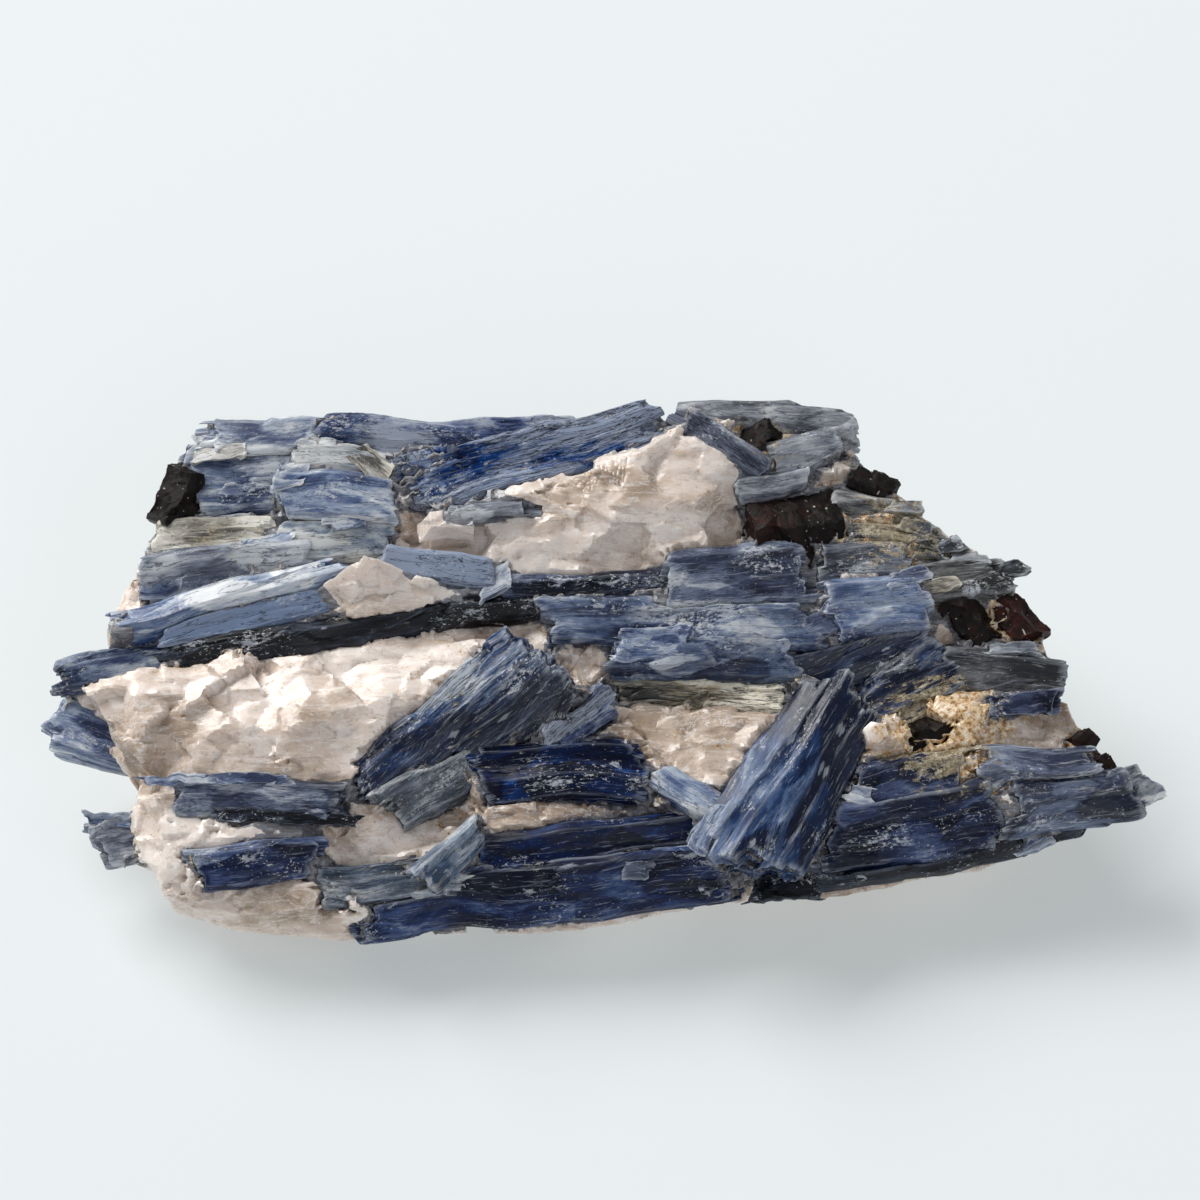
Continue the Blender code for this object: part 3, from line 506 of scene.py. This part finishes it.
usualTraits = (0.0, 0.0, 0.0, 0.7, 0.0, 0.0)
traits = {  # where a crystal differs: how much lighter than its slot its left end and its right end are, how far it
    # has lost the blue of its slot, how fibrous it is, how much lighter and how much bluer its far side is
    "cross_crystal": (0.02, -0.24, -0.3, 0.25, 0.05), "corner_plate": (0.36, 0.44, -0.5, 0.6),
    "lilac_splinter": (0.1, 0.07), "centre_main_plate": (-0.03, 0.01, 0.0, 0.5),
    "centre_lower_plate": (0.03, 0.02, 0.0, 0.5), "centre_upper_plate": (0.06, 0.1, 0.2, 0.5),
    # the dark left end of fibrous_blade is partly its own colour and partly painted shade of the recess it lies in
    "centre_dark_blade": (0.06, 0.06, 0.3), "fibrous_blade": (-0.34, 0.56, 0.0, 1.8),
    "diagonal_bundle": (-0.06, 0.02, 0.0, 1.7, 0.14, 0.7), "diagonal_side_laths": (0.14, 0.18, 0.0, 1.5),
    "upper_long_bundle": (0.18, 0.3, -0.4, 1.6, -0.06, -0.1), "upper_right_blade": (-0.04, 0.02, 0.5),
    "quartz_lath": (0.12, 0.18, 0.6), "back_left_blade": (0.17, 0.12, 0.2), "back_deep_blade": (0.1, 0.2),
    "left_pale_blade": (0.02, -0.02, -0.2, 0.7, 0.12), "left_deep_blade": (0.42, 0.34, -1.0, 0.7, -0.05),
    "left_end_blade": (0.12, 0.08, 0.0, 0.7, 0.1), "left_blue_laths": (0.22, 0.22, 0.4),
    "left_straw_laths": (0.11, 0.11, 0.5), "left_slate_bundle": (0.15, 0.15),
    "upper_pale_plate": (0.09, 0.03, 0.0, 0.35), "grey_middle_laths": (0.04, 0.06, -0.8),
    "grey_green_plate": (0.28, 0.24), "left_thin_laths": (0.15, 0.02, 0.2, 1.2), "left_low_laths": (0.24, 0.2, 0.5),
    "left_protruding_blade": (0.04, -0.04), "short_deep_blade": (0.04, 0.08, 0.0, 0.5),
    "front_grey_laths": (0.09, 0.04, -0.4, 1.2), "right_front_blade": (-0.09, -0.09, 0.0, 0.6),
    "right_triangle_plate": (0.02, -0.05, 0.1, 0.3), "right_pale_laths": (-0.1, -0.06, 0.3),
    "right_centre_plate": (-0.04, 0.0, 0.0, 0.4), "rough_slope_bundle": (-0.08, -0.08, -0.1, 1.1),
    "pale_step_laths": (-0.08, -0.06, 0.7), "right_rim_lobe": (-0.2, -0.2, 1.0, 1.2),
    "front_upper_blade": (-0.12, -0.12, -0.3, 0.5), "navy_blades": (-0.1, -0.1, -0.5, 0.3),
    "right_back_laths": (-0.04, -0.04, 0.9, 1.2), "right_rim_laths": (-0.22, -0.22, 0.8, 1.2),
    "long_dark_blade": (0.06, 0.06, 0.0, 1.2), "right_grey_blade": (0.04, 0.04, 0.9, 0.7, 0.1),
    "front_low_laths": (0.1, 0.06), "back_right_laths": (0.05, 0.05, 0.7), "front_block": (-0.02, -0.02, -0.8),
    "right_end_blade": (-0.04, -0.04, 0.1), "grey_fan": (0.08, 0.05, 0.0, 1.4),
    "right_upper_plate": (0.06, 0.06, 0.6, 0.35), "staurolite_centre": (0.16, -0.04),
    "staurolite_right_upper": (0.2, 0.2), "staurolite_right_inner": (0.08, 0.08),
    "staurolite_right_end": (0.15, 0.15), "front_long_blade": (0.0, 0.0, -0.1, 0.6, -0.03),
}
grainSpread = 400  # mm, so that no two crystals share a pattern
toneSpread = 0.02
alongOf = {}  # which way each crystal runs


def crystalAxes(mesh, outward):  # X along the long edges, Z out of the broadest face beside them
    ends = np.array([[mesh.vertices[i].co for i in edge.vertices] for edge in mesh.edges])
    runs = ends[:, 1] - ends[:, 0]
    spread = np.einsum("i,ij,ik->jk", np.linalg.norm(runs, axis=1) ** 2, runs, runs)
    along = Vector(np.linalg.eigh(spread)[1][:, 2])
    along = along if along.x > 0 else -along
    normals = np.array([polygon.normal for polygon in mesh.polygons])
    areas = np.array([polygon.area for polygon in mesh.polygons])
    sideways, level = 0.35, 0.985  # how far a side may face along the blade, how alike the faces of one side are
    usable = (np.abs(normals @ np.array(along)) < sideways) & (normals @ np.array(outward) > 0)
    normals, areas = normals[usable], areas[usable]
    out = Vector(normals[((normals @ normals.T > level) @ areas).argmax()])
    across = out.cross(along).normalized()
    return Matrix((along, across, along.cross(across))).transposed().to_4x4()


def breakCrystal(piece, name, shape, toWorld):  # the piece is in its own frame in mm, its length squeezed
    chance = random.Random(name)
    mesh = piece.data
    squeeze = Matrix.Diagonal((shape["squeeze"], 1, 1, 1))
    halfLength = max(vertex.co.x for vertex in mesh.vertices) / shape["squeeze"]
    moveMesh(piece, squeeze.inverted() @ Matrix.Scale(1 + shape["lengthen"] / halfLength, 4, (1, 0, 0)))
    places = placesOf(mesh)
    low, high = places.min(axis=0), places.max(axis=0)
    share = (places[:, 0] - low[0]) / (high[0] - low[0])
    reach = share * 2 - 1
    storeValues(mesh, "grain", "FLOAT_VECTOR", places + [chance.uniform(0, grainSpread) for _ in range(3)])
    storeValues(mesh, "reach", "FLOAT", reach)
    places[:, 0] += np.abs(reach) ** 3 * chance.uniform(-1, 1) * shape["slant"] * places[:, 1]
    mesh.vertices.foreach_set("co", places.ravel())
    own = traits.get(name, ())
    start, end, grey, comb, farTone, farBlue = own + usualTraits[len(own):]
    across = 2 * (places[:, 1] - low[1]) / (high[1] - low[1]) - 1
    tone = start + (end - start) * share + across * farTone + chance.uniform(-toneSpread, toneSpread)
    storeValues(mesh, "tone", "FLOAT", tone)
    storeValues(mesh, "colour", "FLOAT", 1 - grey + across * farBlue)
    storeValues(mesh, "combed", "FLOAT", np.full(len(places), comb))
    for breaks in shape["breaks"]:
        applyModifier(piece, "NODES", node_group=breaks)
    moveMesh(piece, toWorld)
    applyModifier(piece, "NODES", node_group=warp)
    smoothByAngle(piece, shape["smooth"])
    alongOf[name] = toWorld.col[0].to_3d().normalized()


core = Vector((middle.x, middle.y, 12 * mm))  # the crystals face a little away from here
coreShare = 0.3


def makeCrystal(name, shape):
    piece = copyOfNode(name, name + "_grown")
    mesh = piece.data
    centre = sum((vertex.co for vertex in mesh.vertices), Vector()) / len(mesh.vertices)
    outward = (centre - core).normalized() * coreShare + faceUp
    toWorld = Matrix.Translation(centre) @ crystalAxes(mesh, outward) @ Matrix.Scale(mm, 4)
    moveMesh(piece, Matrix.Diagonal((shape["squeeze"], 1, 1, 1)) @ toWorld.inverted())
    remesh(piece, shape["voxel"] * 1.5)  # coarser, as closing the gaps remeshes it twice more
    closeGaps(piece, shape["close"], shape["voxel"])
    applyModifier(piece, "DISPLACE", mid_level=0.0, strength=shape["grow"])
    breakCrystal(piece, name, shape, toWorld)
    return piece


def finishPiece(piece, slot, *nodes):  # its material, body and slot, and the CAD nodes that it stands for
    piece.data.materials.clear()
    piece.data.materials.append(materials[slot])
    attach(piece, "root")
    if nodes:
        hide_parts(*nodes)


crystals = {}
for name in crystalNames:
    crystals[name] = makeCrystal(name, stubShape if slotOf[name] == "staurolite" else bladeShape)
    finishPiece(crystals[name], slotOf[name], name)
chipShape = dict(bladeShape, lengthen=0.0, slant=0.7, start=6.0, wobble=0.20, flatten=0.6, splinters=[(0.4, 1.8)],
                 layers=[((0.1, 0.3, 0.3), 0.14, 0.08), ((0.25, 0.9, 0.9), 0.05, 0.06)])
chipShape["breaks"] = [makeWarp(chipWaves, 1.0, farDown),
                       fractureTree("Chip fracture", chipShape["layers"], chipShape["splinters"])]
chips = {  # a crystal too small for the CAD: the one it lies on, where along and across it, length, width and
    # thickness in mm, how far it is turned in degrees, how deep it sits in mm, shade, tone, grey
    "centre_overlay": ("centre_lower_plate", 0.25, 0.75, 12.0, 4.6, 1.2, 2, 0.8, "pale", -0.02, 0.0),
    "centre_chip": ("centre_dark_blade", 0.02, 0.6, 4.6, 3.8, 1.6, 25, 1.1, "pale", 0.10, 0.3),
    "front_plate": ("front_long_blade", 0.66, 0.72, 7.5, 3.4, 1.5, 4, 1.0, "grey", 0.06, -0.2),
    "front_plate_step": ("front_long_blade", 0.74, 0.45, 5.0, 2.6, 1.2, -6, 0.8, "slate", 0.08, 0.2),
    "front_chip": ("front_long_blade", 0.93, 0.35, 5.4, 2.8, 1.6, 12, 1.1, "pale", 0.06, 0.2),
    "triangle_chip": ("right_triangle_plate", 0.15, 0.35, 5.0, 2.4, 1.0, -25, 0.7, "pale", 0.08, 0.2),
    "lilac_chip": ("front_low_laths", 0.78, 0.5, 6.0, 4.6, 1.8, 15, 1.2, "pale", 0.06, 0.2),
    "end_lath": ("right_end_blade", 0.10, 0.95, 15.0, 1.9, 1.6, 3, 1.1, "pale", 0.08, 0.3),
    "deep_lath": ("right_pale_laths", 0.45, 1.7, 10.5, 2.8, 2.4, 6, 0.9, "deep", 0.02, 0.25),
    "end_tip": ("right_end_blade", 0.93, 0.55, 4.6, 5.2, 2.6, 10, 1.6, "grey", 0.12, 0.2),
    "upper_lath": ("upper_long_bundle", 0.42, 0.45, 15.0, 1.5, 1.4, 3, 0.9, "pale", 0.02, 0.2),
    "upper_flake": ("back_right_laths", 0.72, -0.3, 7.0, 3.6, 1.6, 25, 0.7, "pale", 0.08, 0.4),
    "step_flake": ("pale_step_laths", 0.30, 0.6, 8.0, 4.0, 1.4, 10, 1.0, "grey", 0.10, 0.0),
    "back_patch": ("back_deep_blade", 0.75, -0.4, 7.0, 3.0, 2.0, -4, 0.8, "deep", 0.0, 0.1),
    "green_edge": ("grey_green_plate", 0.75, 0.4, 6.5, 3.4, 1.0, -28, 0.75, "straw", 0.06, 0.6),
    "green_edge_back": ("grey_green_plate", 0.25, 0.8, 8.0, 2.2, 1.2, -8, 0.95, "grey", 0.12, 0.0),
    "pale_step": ("upper_pale_plate", 0.16, 0.8, 6.0, 4.0, 1.0, 12, 0.75, "pale", 0.10, 0.2),
    "slate_step": ("left_slate_bundle", 0.20, 0.90, 8.5, 2.6, 1.2, 6, 0.9, "grey", 0.10, 0.0),
    "slate_edge": ("left_slate_bundle", 0.55, 0.30, 9.0, 2.4, 1.2, -8, 0.9, "pale", -0.02, 0.2),
    "back_band": ("back_left_blade", 0.22, 0.10, 9.0, 1.8, 1.4, 5, 1.05, "straw", 0.10, 0.8),
    "blue_edge": ("left_blue_laths", 0.12, 0.35, 7.0, 3.2, 1.6, -6, 1.2, "slate", 0.10, 0.0),
    "blue_patch": ("left_blue_laths", 0.70, 0.75, 9.0, 2.4, 1.2, 8, 0.9, "pale", 0.04, 0.0),
    "straw_edge": ("left_straw_laths", 0.55, 0.85, 9.0, 2.0, 1.2, 5, 0.95, "grey", 0.16, 0.0),
    "middle_patch": ("grey_middle_laths", 0.60, 0.7, 7.0, 2.6, 1.2, 10, 0.9, "slate", 0.06, 0.0),
    "rim_nub_a": ("right_back_laths", 0.80, 0.75, 4.6, 2.2, 2.0, 12, 0.8, "grey", 0.10, 0.3),
    "rim_nub_b": ("right_back_laths", 0.97, 0.35, 4.0, 2.0, 2.0, -8, 0.8, "grey", 0.06, 0.3),
    "rim_nub_c": ("right_rim_laths", 0.70, 0.80, 5.0, 2.0, 2.0, -10, 0.8, "grey", 0.08, 0.5),
    "rim_nub_d": ("right_rim_laths", 0.98, 0.50, 4.4, 2.2, 2.0, 14, 0.8, "grey", 0.04, 0.5),
    "rim_nub_e": ("right_rim_lobe", 0.60, 0.90, 5.2, 2.0, 2.0, -14, 0.8, "grey", 0.08, 0.5),
    "rim_nub_f": ("right_rim_lobe", 0.92, 0.60, 4.6, 2.6, 2.2, 10, 0.9, "grey", 0.06, 0.4),
    "rim_nub_g": ("right_rim_lobe", 0.30, 0.35, 6.0, 1.8, 1.6, 6, 0.6, "straw", 0.00, 0.5),
    "slope_chip": ("rough_slope_bundle", 0.62, 0.60, 5.0, 2.6, 1.6, 20, 1.1, "grey", 0.02, -0.3),
    "slope_chip_low": ("rough_slope_bundle", 0.30, 0.45, 4.5, 2.2, 1.4, -25, 1.0, "grey", -0.02, -0.3),
    "plate_corner": ("right_centre_plate", 0.80, 0.85, 6.5, 2.6, 1.2, 12, 0.9, "pale", 0.0, 0.2),
    "cross_edge": ("cross_crystal", 0.12, 0.85, 9.0, 3.0, 1.2, 4, 0.9, "pale", 0.0, 0.0),
    "thin_lath_pale": ("left_thin_laths", 0.28, 0.80, 21.0, 1.5, 1.3, 2, 0.8, "pale", -0.04, 0.1),
    "thin_lath_dark": ("left_thin_laths", 0.68, 0.10, 20.0, 1.9, 1.5, -1, 0.9, "ink", 0.02, 0.0),
    "low_lath_blue": ("left_low_laths", 0.30, 0.85, 9.0, 1.7, 1.6, -9, 0.9, "slate", 0.12, -0.3),
    "low_lath_grey": ("left_low_laths", 0.45, 0.10, 8.0, 1.6, 1.5, 10, 0.8, "grey", 0.04, 0.4),
    "front_toe": ("front_low_laths", 0.03, 0.1, 12.0, 3.0, 2.0, -4, 0.9, "ink", 0.04, 0.2),
    "seam_plate": ("centre_main_plate", 0.97, 0.45, 6.0, 3.2, 1.4, 14, 0.8, "pale", -0.06, 0.2),
    "grey_edge": ("right_grey_blade", 0.55, 0.90, 10.0, 1.8, 1.4, 5, 0.6, "grey", 0.14, 0.2),
}


def makeChip(name, host, alongShare, farShare, length, width, thick, turn, deep, shade, tone, grey):
    chance = random.Random(name)
    along = alongOf[host]
    far = faceUp.cross(along).normalized()
    axes = np.array([along, far, along.cross(far)])
    reach = placesOf(crystals[host].data) @ axes.T
    low, high = reach.min(axis=0), reach.max(axis=0)
    start = low + (high - low) * (alongShare, farShare, 1)
    start = Vector((start + (0, 0, chipShape["start"] * mm)) @ axes)
    tree = BVHTree.FromObject(crystals[host], bpy.context.evaluated_depsgraph_get())
    out = Vector(axes[2])
    hit, normal, _, _ = tree.ray_cast(start, -out)
    if hit is None:
        hit, normal = start - out * (chipShape["start"] + 2 * deep) * mm, out
    out = (normal + out * 2).normalized()
    across = out.cross(along).normalized()
    basis = Matrix((across.cross(out), across, out)).transposed().to_4x4()
    toWorld = Matrix.Translation(hit + out * (thick / 2 - deep) * mm) @ basis @ Matrix.Scale(mm, 4)
    bpy.ops.mesh.primitive_cube_add(size=1)
    piece = bpy.context.active_object
    piece.name = name
    bpy.ops.object.mode_set(mode="EDIT")
    bpy.ops.transform.vertex_random(offset=chipShape["wobble"], seed=chance.randrange(1000))
    bpy.ops.transform.resize(value=(1, 1, chipShape["flatten"]))
    bpy.ops.transform.resize(value=(length * chipShape["squeeze"], width, thick))
    bpy.ops.object.mode_set(mode="OBJECT")
    remesh(piece, chipShape["voxel"])
    traits[name] = (tone, tone, grey)
    breakCrystal(piece, name, chipShape, toWorld @ Matrix.Rotation(math.radians(turn), 4, "Z"))
    finishPiece(piece, "kyanite_" + shade)
    return piece


for name, chip in chips.items():
    crystals[name] = makeChip(name, *chip)
print("crystals:", len(crystals), "polygons:", sum(len(piece.data.polygons) for piece in crystals.values()))


quartzShape = {  # in mm
    "voxel": 0.45, "close": 2.0, "below": 0.4, "sink": 0.15, "dip": 1.2, "smooth": 9, "triangles": 195000,
    "swell": 0.4, "grainShift": 300, "buried": 0.35, "buriedShare": 0.4, "skin": (0.85, 0.6), "reach": (2.2, 1.5),
    "facets": [((0.07, 0.11, 0.11), 0.18, 1.2), ((0.22, 0.34, 0.34), 0.13, 0.4)],
    "layers": [((0.9, 1.2, 1.2), 0.012, 0.05)],
}


def dipTree(pieces):  # rock that lies inside a crystal, or as a skin on its face, sinks under it
    tree, surface = groupTree("Dip under crystals")
    target = togetherIn(tree, pieces)
    normal = addNode(tree, "GeometryNodeInputNormal")
    nearest = addNode(tree, "GeometryNodeProximity", [target])
    out = addNode(tree, "GeometryNodeSampleNearestSurface", {"Mesh": target, "Value": normal},
                  data_type="FLOAT_VECTOR")
    place = addNode(tree, "GeometryNodeInputPosition")
    away = addNode(tree, "ShaderNodeVectorMath", [place, nearest.outputs["Position"]], operation="SUBTRACT")
    depth = addNode(tree, "ShaderNodeVectorMath", [away, out], operation="DOT_PRODUCT").outputs["Value"]
    alike = addNode(tree, "ShaderNodeVectorMath", [normal, out], operation="DOT_PRODUCT").outputs["Value"]
    buried, buriedShare = quartzShape["buried"], quartzShape["buriedShare"]
    inside = addNode(tree, "ShaderNodeMapRange", [depth, 0.0, -buried * mm, 0.0, buriedShare])
    nothing, full = quartzShape["reach"]
    close = addNode(tree, "ShaderNodeMapRange", [nearest.outputs["Distance"], nothing * mm, full * mm])
    nothing, full = quartzShape["skin"]
    skin = addNode(tree, "ShaderNodeMapRange", [depth, nothing * mm, full * mm, 0.0, 1.0])
    alike = addNode(tree, "ShaderNodeMapRange", [alike, 0.45, 0.8, 0.0, 1.0])
    skin = addNode(tree, "ShaderNodeMath", [skin, alike], operation="MULTIPLY")
    amount = addNode(tree, "ShaderNodeMath", [inside, skin], operation="MAXIMUM")
    amount = addNode(tree, "ShaderNodeMath", [amount, close], operation="MULTIPLY")
    amount = addNode(tree, "ShaderNodeMath", [amount, -quartzShape["dip"] * mm], operation="MULTIPLY")
    moved = addNode(tree, "ShaderNodeVectorMath", [normal, amount, place], operation="MULTIPLY_ADD")
    lowest = (farDown, farDown, lowCorner.z)
    moved = addNode(tree, "ShaderNodeVectorMath", [moved, lowest], operation="MAXIMUM")
    surface = addNode(tree, "GeometryNodeSetPosition", {"Geometry": surface, "Position": moved})
    addNode(tree, "NodeGroupOutput", [surface])
    return tree


chunks = {  # a lump of clearer or whiter quartz: the crystal beside it, how far from the middle of that, its size
    # and the lean of its peak, all in mm, corners, how flat its top is, how far it is turned in degrees, how white
    "quartz_tent": ("corner_plate", (-8.6, -3.1, 0.0), (30.0, 11.5, 10.0), (-3.0, 4.0), 5, 0.0, 12, 2.6),
    "quartz_shoulder": ("corner_plate", (-0.6, -3.0, -1.6), (14.0, 6.5, 6.5), (-3.0, 1.8), 4, 0.1, 8, 2.0),
    "quartz_block": ("quartz_lath", (-5.2, -1.4, -0.6), (10.0, 4.2, 3.2), (1.0, 0.5), 4, 0.75, 48, 2.5),
    "quartz_nub": ("left_pale_blade", (-14.3, -4.2, -0.8), (5.5, 4.6, 4.4), (0.0, 0.0), 6, 0.6, 10, -0.6),
    "quartz_bead": ("staurolite_crust", (-8.9, -2.3, 2.2), (5.4, 4.8, 4.2), (0.0, 0.3), 6, 0.6, 20, 1.2),
}
chunkShape = {"voxel": 0.22, "wobble": 0.04, "facets": [((0.20, 0.26, 0.26), 0.20, 0.5)]}
chunkBreaks = [facetTree(chunkShape["facets"], quartzShape["swell"]),
               fractureTree("Chunk rough", quartzShape["layers"], first=1)]


def makeChunk(name, beside, offset, size, lean, corners, top, turn, white):
    chance = random.Random(name)
    bpy.ops.mesh.primitive_cone_add(vertices=corners, radius1=0.5, radius2=top / 2, depth=1)
    piece = bpy.context.active_object
    piece.name = name
    mesh = piece.data
    bpy.ops.object.mode_set(mode="EDIT")
    bpy.ops.transform.vertex_random(offset=chunkShape["wobble"], seed=chance.randrange(1000))
    bpy.ops.object.mode_set(mode="OBJECT")
    long, wide, tall = size
    leaning = Matrix(((long, 0, lean[0], 0), (0, wide, lean[1], 0), (0, 0, tall, 0), (0, 0, 0, 1)))
    moveMesh(piece, leaning @ Matrix.Rotation(math.radians(turn), 4, "Z"))
    remesh(piece, chunkShape["voxel"])
    shift = [chance.uniform(0, grainSpread) for _ in range(3)]
    storeValues(mesh, "grain", "FLOAT_VECTOR", placesOf(mesh) + shift)
    storeValues(mesh, "combed", "FLOAT", np.ones(len(mesh.vertices)))
    for breaks in chunkBreaks:
        applyModifier(piece, "NODES", node_group=breaks)
    low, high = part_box(beside)
    right = Vector((1, 0, 0))
    basis = Matrix((right, faceUp.cross(right), faceUp)).transposed().to_4x4()
    moveMesh(piece, Matrix.Translation((low + high) / 2 + Vector(offset) * mm) @ basis @ Matrix.Scale(mm, 4))
    applyModifier(piece, "NODES", node_group=warp)
    smoothByAngle(piece, quartzShape["smooth"])
    return piece


def makeQuartz():
    copies = [copyOfNode(name, "quartz_lump") for name in ["quartz_matrix"] + crystalNames]
    for piece in copies[1:]:
        applyModifier(piece, "DISPLACE", mid_level=0.0, strength=-quartzShape["below"] * mm)
    selectOnly(*copies)
    bpy.ops.object.join()  # the lump with its crystals, so that the narrow gaps can be closed
    piece = copies[0]
    mesh = piece.data
    moveMesh(piece, Matrix.Scale(1 / mm, 4))
    remesh(piece, quartzShape["voxel"])
    closeGaps(piece, quartzShape["close"], quartzShape["voxel"])
    applyModifier(piece, "DISPLACE", mid_level=0.0, strength=-quartzShape["sink"])
    storeValues(mesh, "grain", "FLOAT_VECTOR", placesOf(mesh) + quartzShape["grainShift"])
    storeValues(mesh, "combed", "FLOAT", np.ones(len(mesh.vertices)))
    applyModifier(piece, "NODES", node_group=facetTree(quartzShape["facets"], quartzShape["swell"]))
    applyModifier(piece, "NODES", node_group=fractureTree("Rough", quartzShape["layers"], first=2))
    moveMesh(piece, Matrix.Scale(mm, 4))
    applyModifier(piece, "NODES", node_group=warp)
    applyModifier(piece, "NODES", node_group=dipTree(crystals.values()))
    ratio = quartzShape["triangles"] / (2 * len(mesh.polygons))
    if ratio < 1:
        applyModifier(piece, "DECIMATE", ratio=ratio)
    smoothByAngle(piece, quartzShape["smooth"])
    return piece


quartz = makeQuartz()
finishPiece(quartz, "quartz", "quartz_matrix")
rocks = [quartz] + [makeChunk(name, *chunk) for name, chunk in chunks.items()]
for rock in rocks[1:]:
    finishPiece(rock, "quartz")
print("quartz:", [len(rock.data.polygons) for rock in rocks])


roomBlur = 30  # passes that spread the distance out, so that a narrow gap stays low all through


def storeContacts(pieces, others):  # every point learns how far it is, in mm, from the other mineral
    tree, surface = groupTree("Contact")
    gap = addNode(tree, "GeometryNodeProximity", [togetherIn(tree, others)])
    gap = addNode(tree, "ShaderNodeMath", [gap.outputs["Distance"], 1 / mm], operation="MULTIPLY")
    surface = addNode(tree, "GeometryNodeStoreNamedAttribute", {"Geometry": surface, "Name": "near", "Value": gap})
    near = addNode(tree, "GeometryNodeInputNamedAttribute", {"Name": "near"})
    room = addNode(tree, "GeometryNodeBlurAttribute", {"Value": near, "Iterations": roomBlur})
    surface = addNode(tree, "GeometryNodeStoreNamedAttribute", {"Geometry": surface, "Name": "room", "Value": room})
    addNode(tree, "NodeGroupOutput", [surface])
    for piece in pieces:
        applyModifier(piece, "NODES", node_group=tree)


storeContacts(rocks, list(crystals.values()))
storeContacts(crystals.values(), rocks)

stains = {  # iron has stained the rock round these crystals: how strongly, and how far in mm
    "staurolite_crust": (1.0, 9.0), "staurolite_right_end": (0.7, 4.0), "staurolite_right_upper": (0.6, 5.0),
    "diagonal_bundle": (0.3, 9.0), "grey_fan": (0.25, 5.0), "staurolite_back": (0.7, 5.0),
    "right_rim_laths": (0.8, 8.0), "left_straw_laths": (0.5, 5.0), "fibrous_blade": (0.2, 5.0),
    "left_low_laths": (0.3, 4.0), "back_right_laths": (0.4, 6.0),
}
milk = {  # the quartz is whiter beside these crystals: how much, how far in mm
    "corner_plate": (1.6, 15.0), "front_block": (0.7, 12.0), "quartz_lath": (1.6, 20.0),
    "front_grey_laths": (2.4, 9.0), "left_thin_laths": (1.7, 17.0), "fibrous_blade": (-1.7, 9.0),
    "left_end_blade": (-0.8, 13.0),
}
for piece in rocks + list(crystals.values()):
    places = placesOf(piece.data)
    for name, spots in (("stain", stains), ("milk", milk)):
        most = np.full(len(places), chunks[piece.name][-1] if name == "milk" and piece.name in chunks else 0.0)
        for node, (amount, radius) in spots.items():
            low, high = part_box(node)
            distance = np.linalg.norm(places - np.array((low + high) / 2), axis=1) / (radius * mm)
            here = amount * np.exp(-distance ** 2)
            most = np.maximum(most, here) if amount > 0 else most + here
        storeValues(piece.data, name, "FLOAT", most)
print("contacts and stains found")


stage = {"floor": 3.0, "paper": "#bfc3c5", "glow": 0.30, "glowColour": "#f4faf8", "lampDistance": 3.5,
         "sky": "#eef3f8", "skyStrength": 0.35}
view = {"lens": 132.0, "distance": 0.60, "elevation": 50.0, "aim": (0.0009, -0.0023, 0.023), "lift": 0.0095,
        "clip": (0.05, 10)}
lamps = {  # direction, size in metres, power in watts, colour
    "window": {"from": (-0.75, 0.75, 0.9), "size": (2.6, 1.8), "power": 142, "colour": "#fffefc"},
    "room": {"from": (0.5, -1.0, 0.8), "size": (3.0, 2.0), "power": 26, "colour": "#f4f7ff"},
}


def makeStage():
    bpy.ops.mesh.primitive_plane_add(size=stage["floor"], location=(0, 0, lowCorner.z))
    floor = bpy.context.active_object
    floor.name = "floor"
    # the paper glows a little: painted light that lifts the shadows on it
    paper, _, _ = newMaterial("Matt pale paper", {
        "Base Color": linear(stage["paper"]), "Roughness": 0.9, "Specular IOR Level": 0.1,
        "Emission Color": linear(stage["glowColour"]), "Emission Strength": stage["glow"]})
    floor.data.materials.append(paper)
    for name, lamp in lamps.items():
        light = bpy.data.lights.new(name, "AREA")
        light.shape = "RECTANGLE"
        light.size, light.size_y = lamp["size"]
        light.energy = lamp["power"]
        light.color = linear(lamp["colour"])[:3]
        holder = bpy.data.objects.new(name, light)
        holder.location = Vector(lamp["from"]).normalized() * stage["lampDistance"]
        holder.rotation_euler = Vector(lamp["from"]).to_track_quat("Z", "Y").to_euler()
        bpy.context.scene.collection.objects.link(holder)
    world = bpy.data.worlds.new("Studio")
    world.use_nodes = True
    sky = world.node_tree.nodes["Background"]
    sky.inputs["Color"].default_value = linear(stage["sky"])
    sky.inputs["Strength"].default_value = stage["skyStrength"]
    bpy.context.scene.world = world


def makeCamera():
    data = bpy.data.cameras.new("camera")
    data.lens = view["lens"]
    data.clip_start, data.clip_end = view["clip"]
    camera = bpy.data.objects.new("camera", data)
    slope = math.radians(view["elevation"])
    back = Vector((0, -math.cos(slope), math.sin(slope)))
    up = Vector((0, math.sin(slope), math.cos(slope)))
    aim = Vector(view["aim"]) + up * view["lift"]
    camera.location = aim + back * view["distance"]
    camera.rotation_euler = (math.radians(90) - slope, 0, 0)
    bpy.context.scene.collection.objects.link(camera)
    bpy.context.scene.camera = camera


makeStage()
makeCamera()
bpy.context.scene.view_settings.view_transform = "Standard"
print("stage is set")
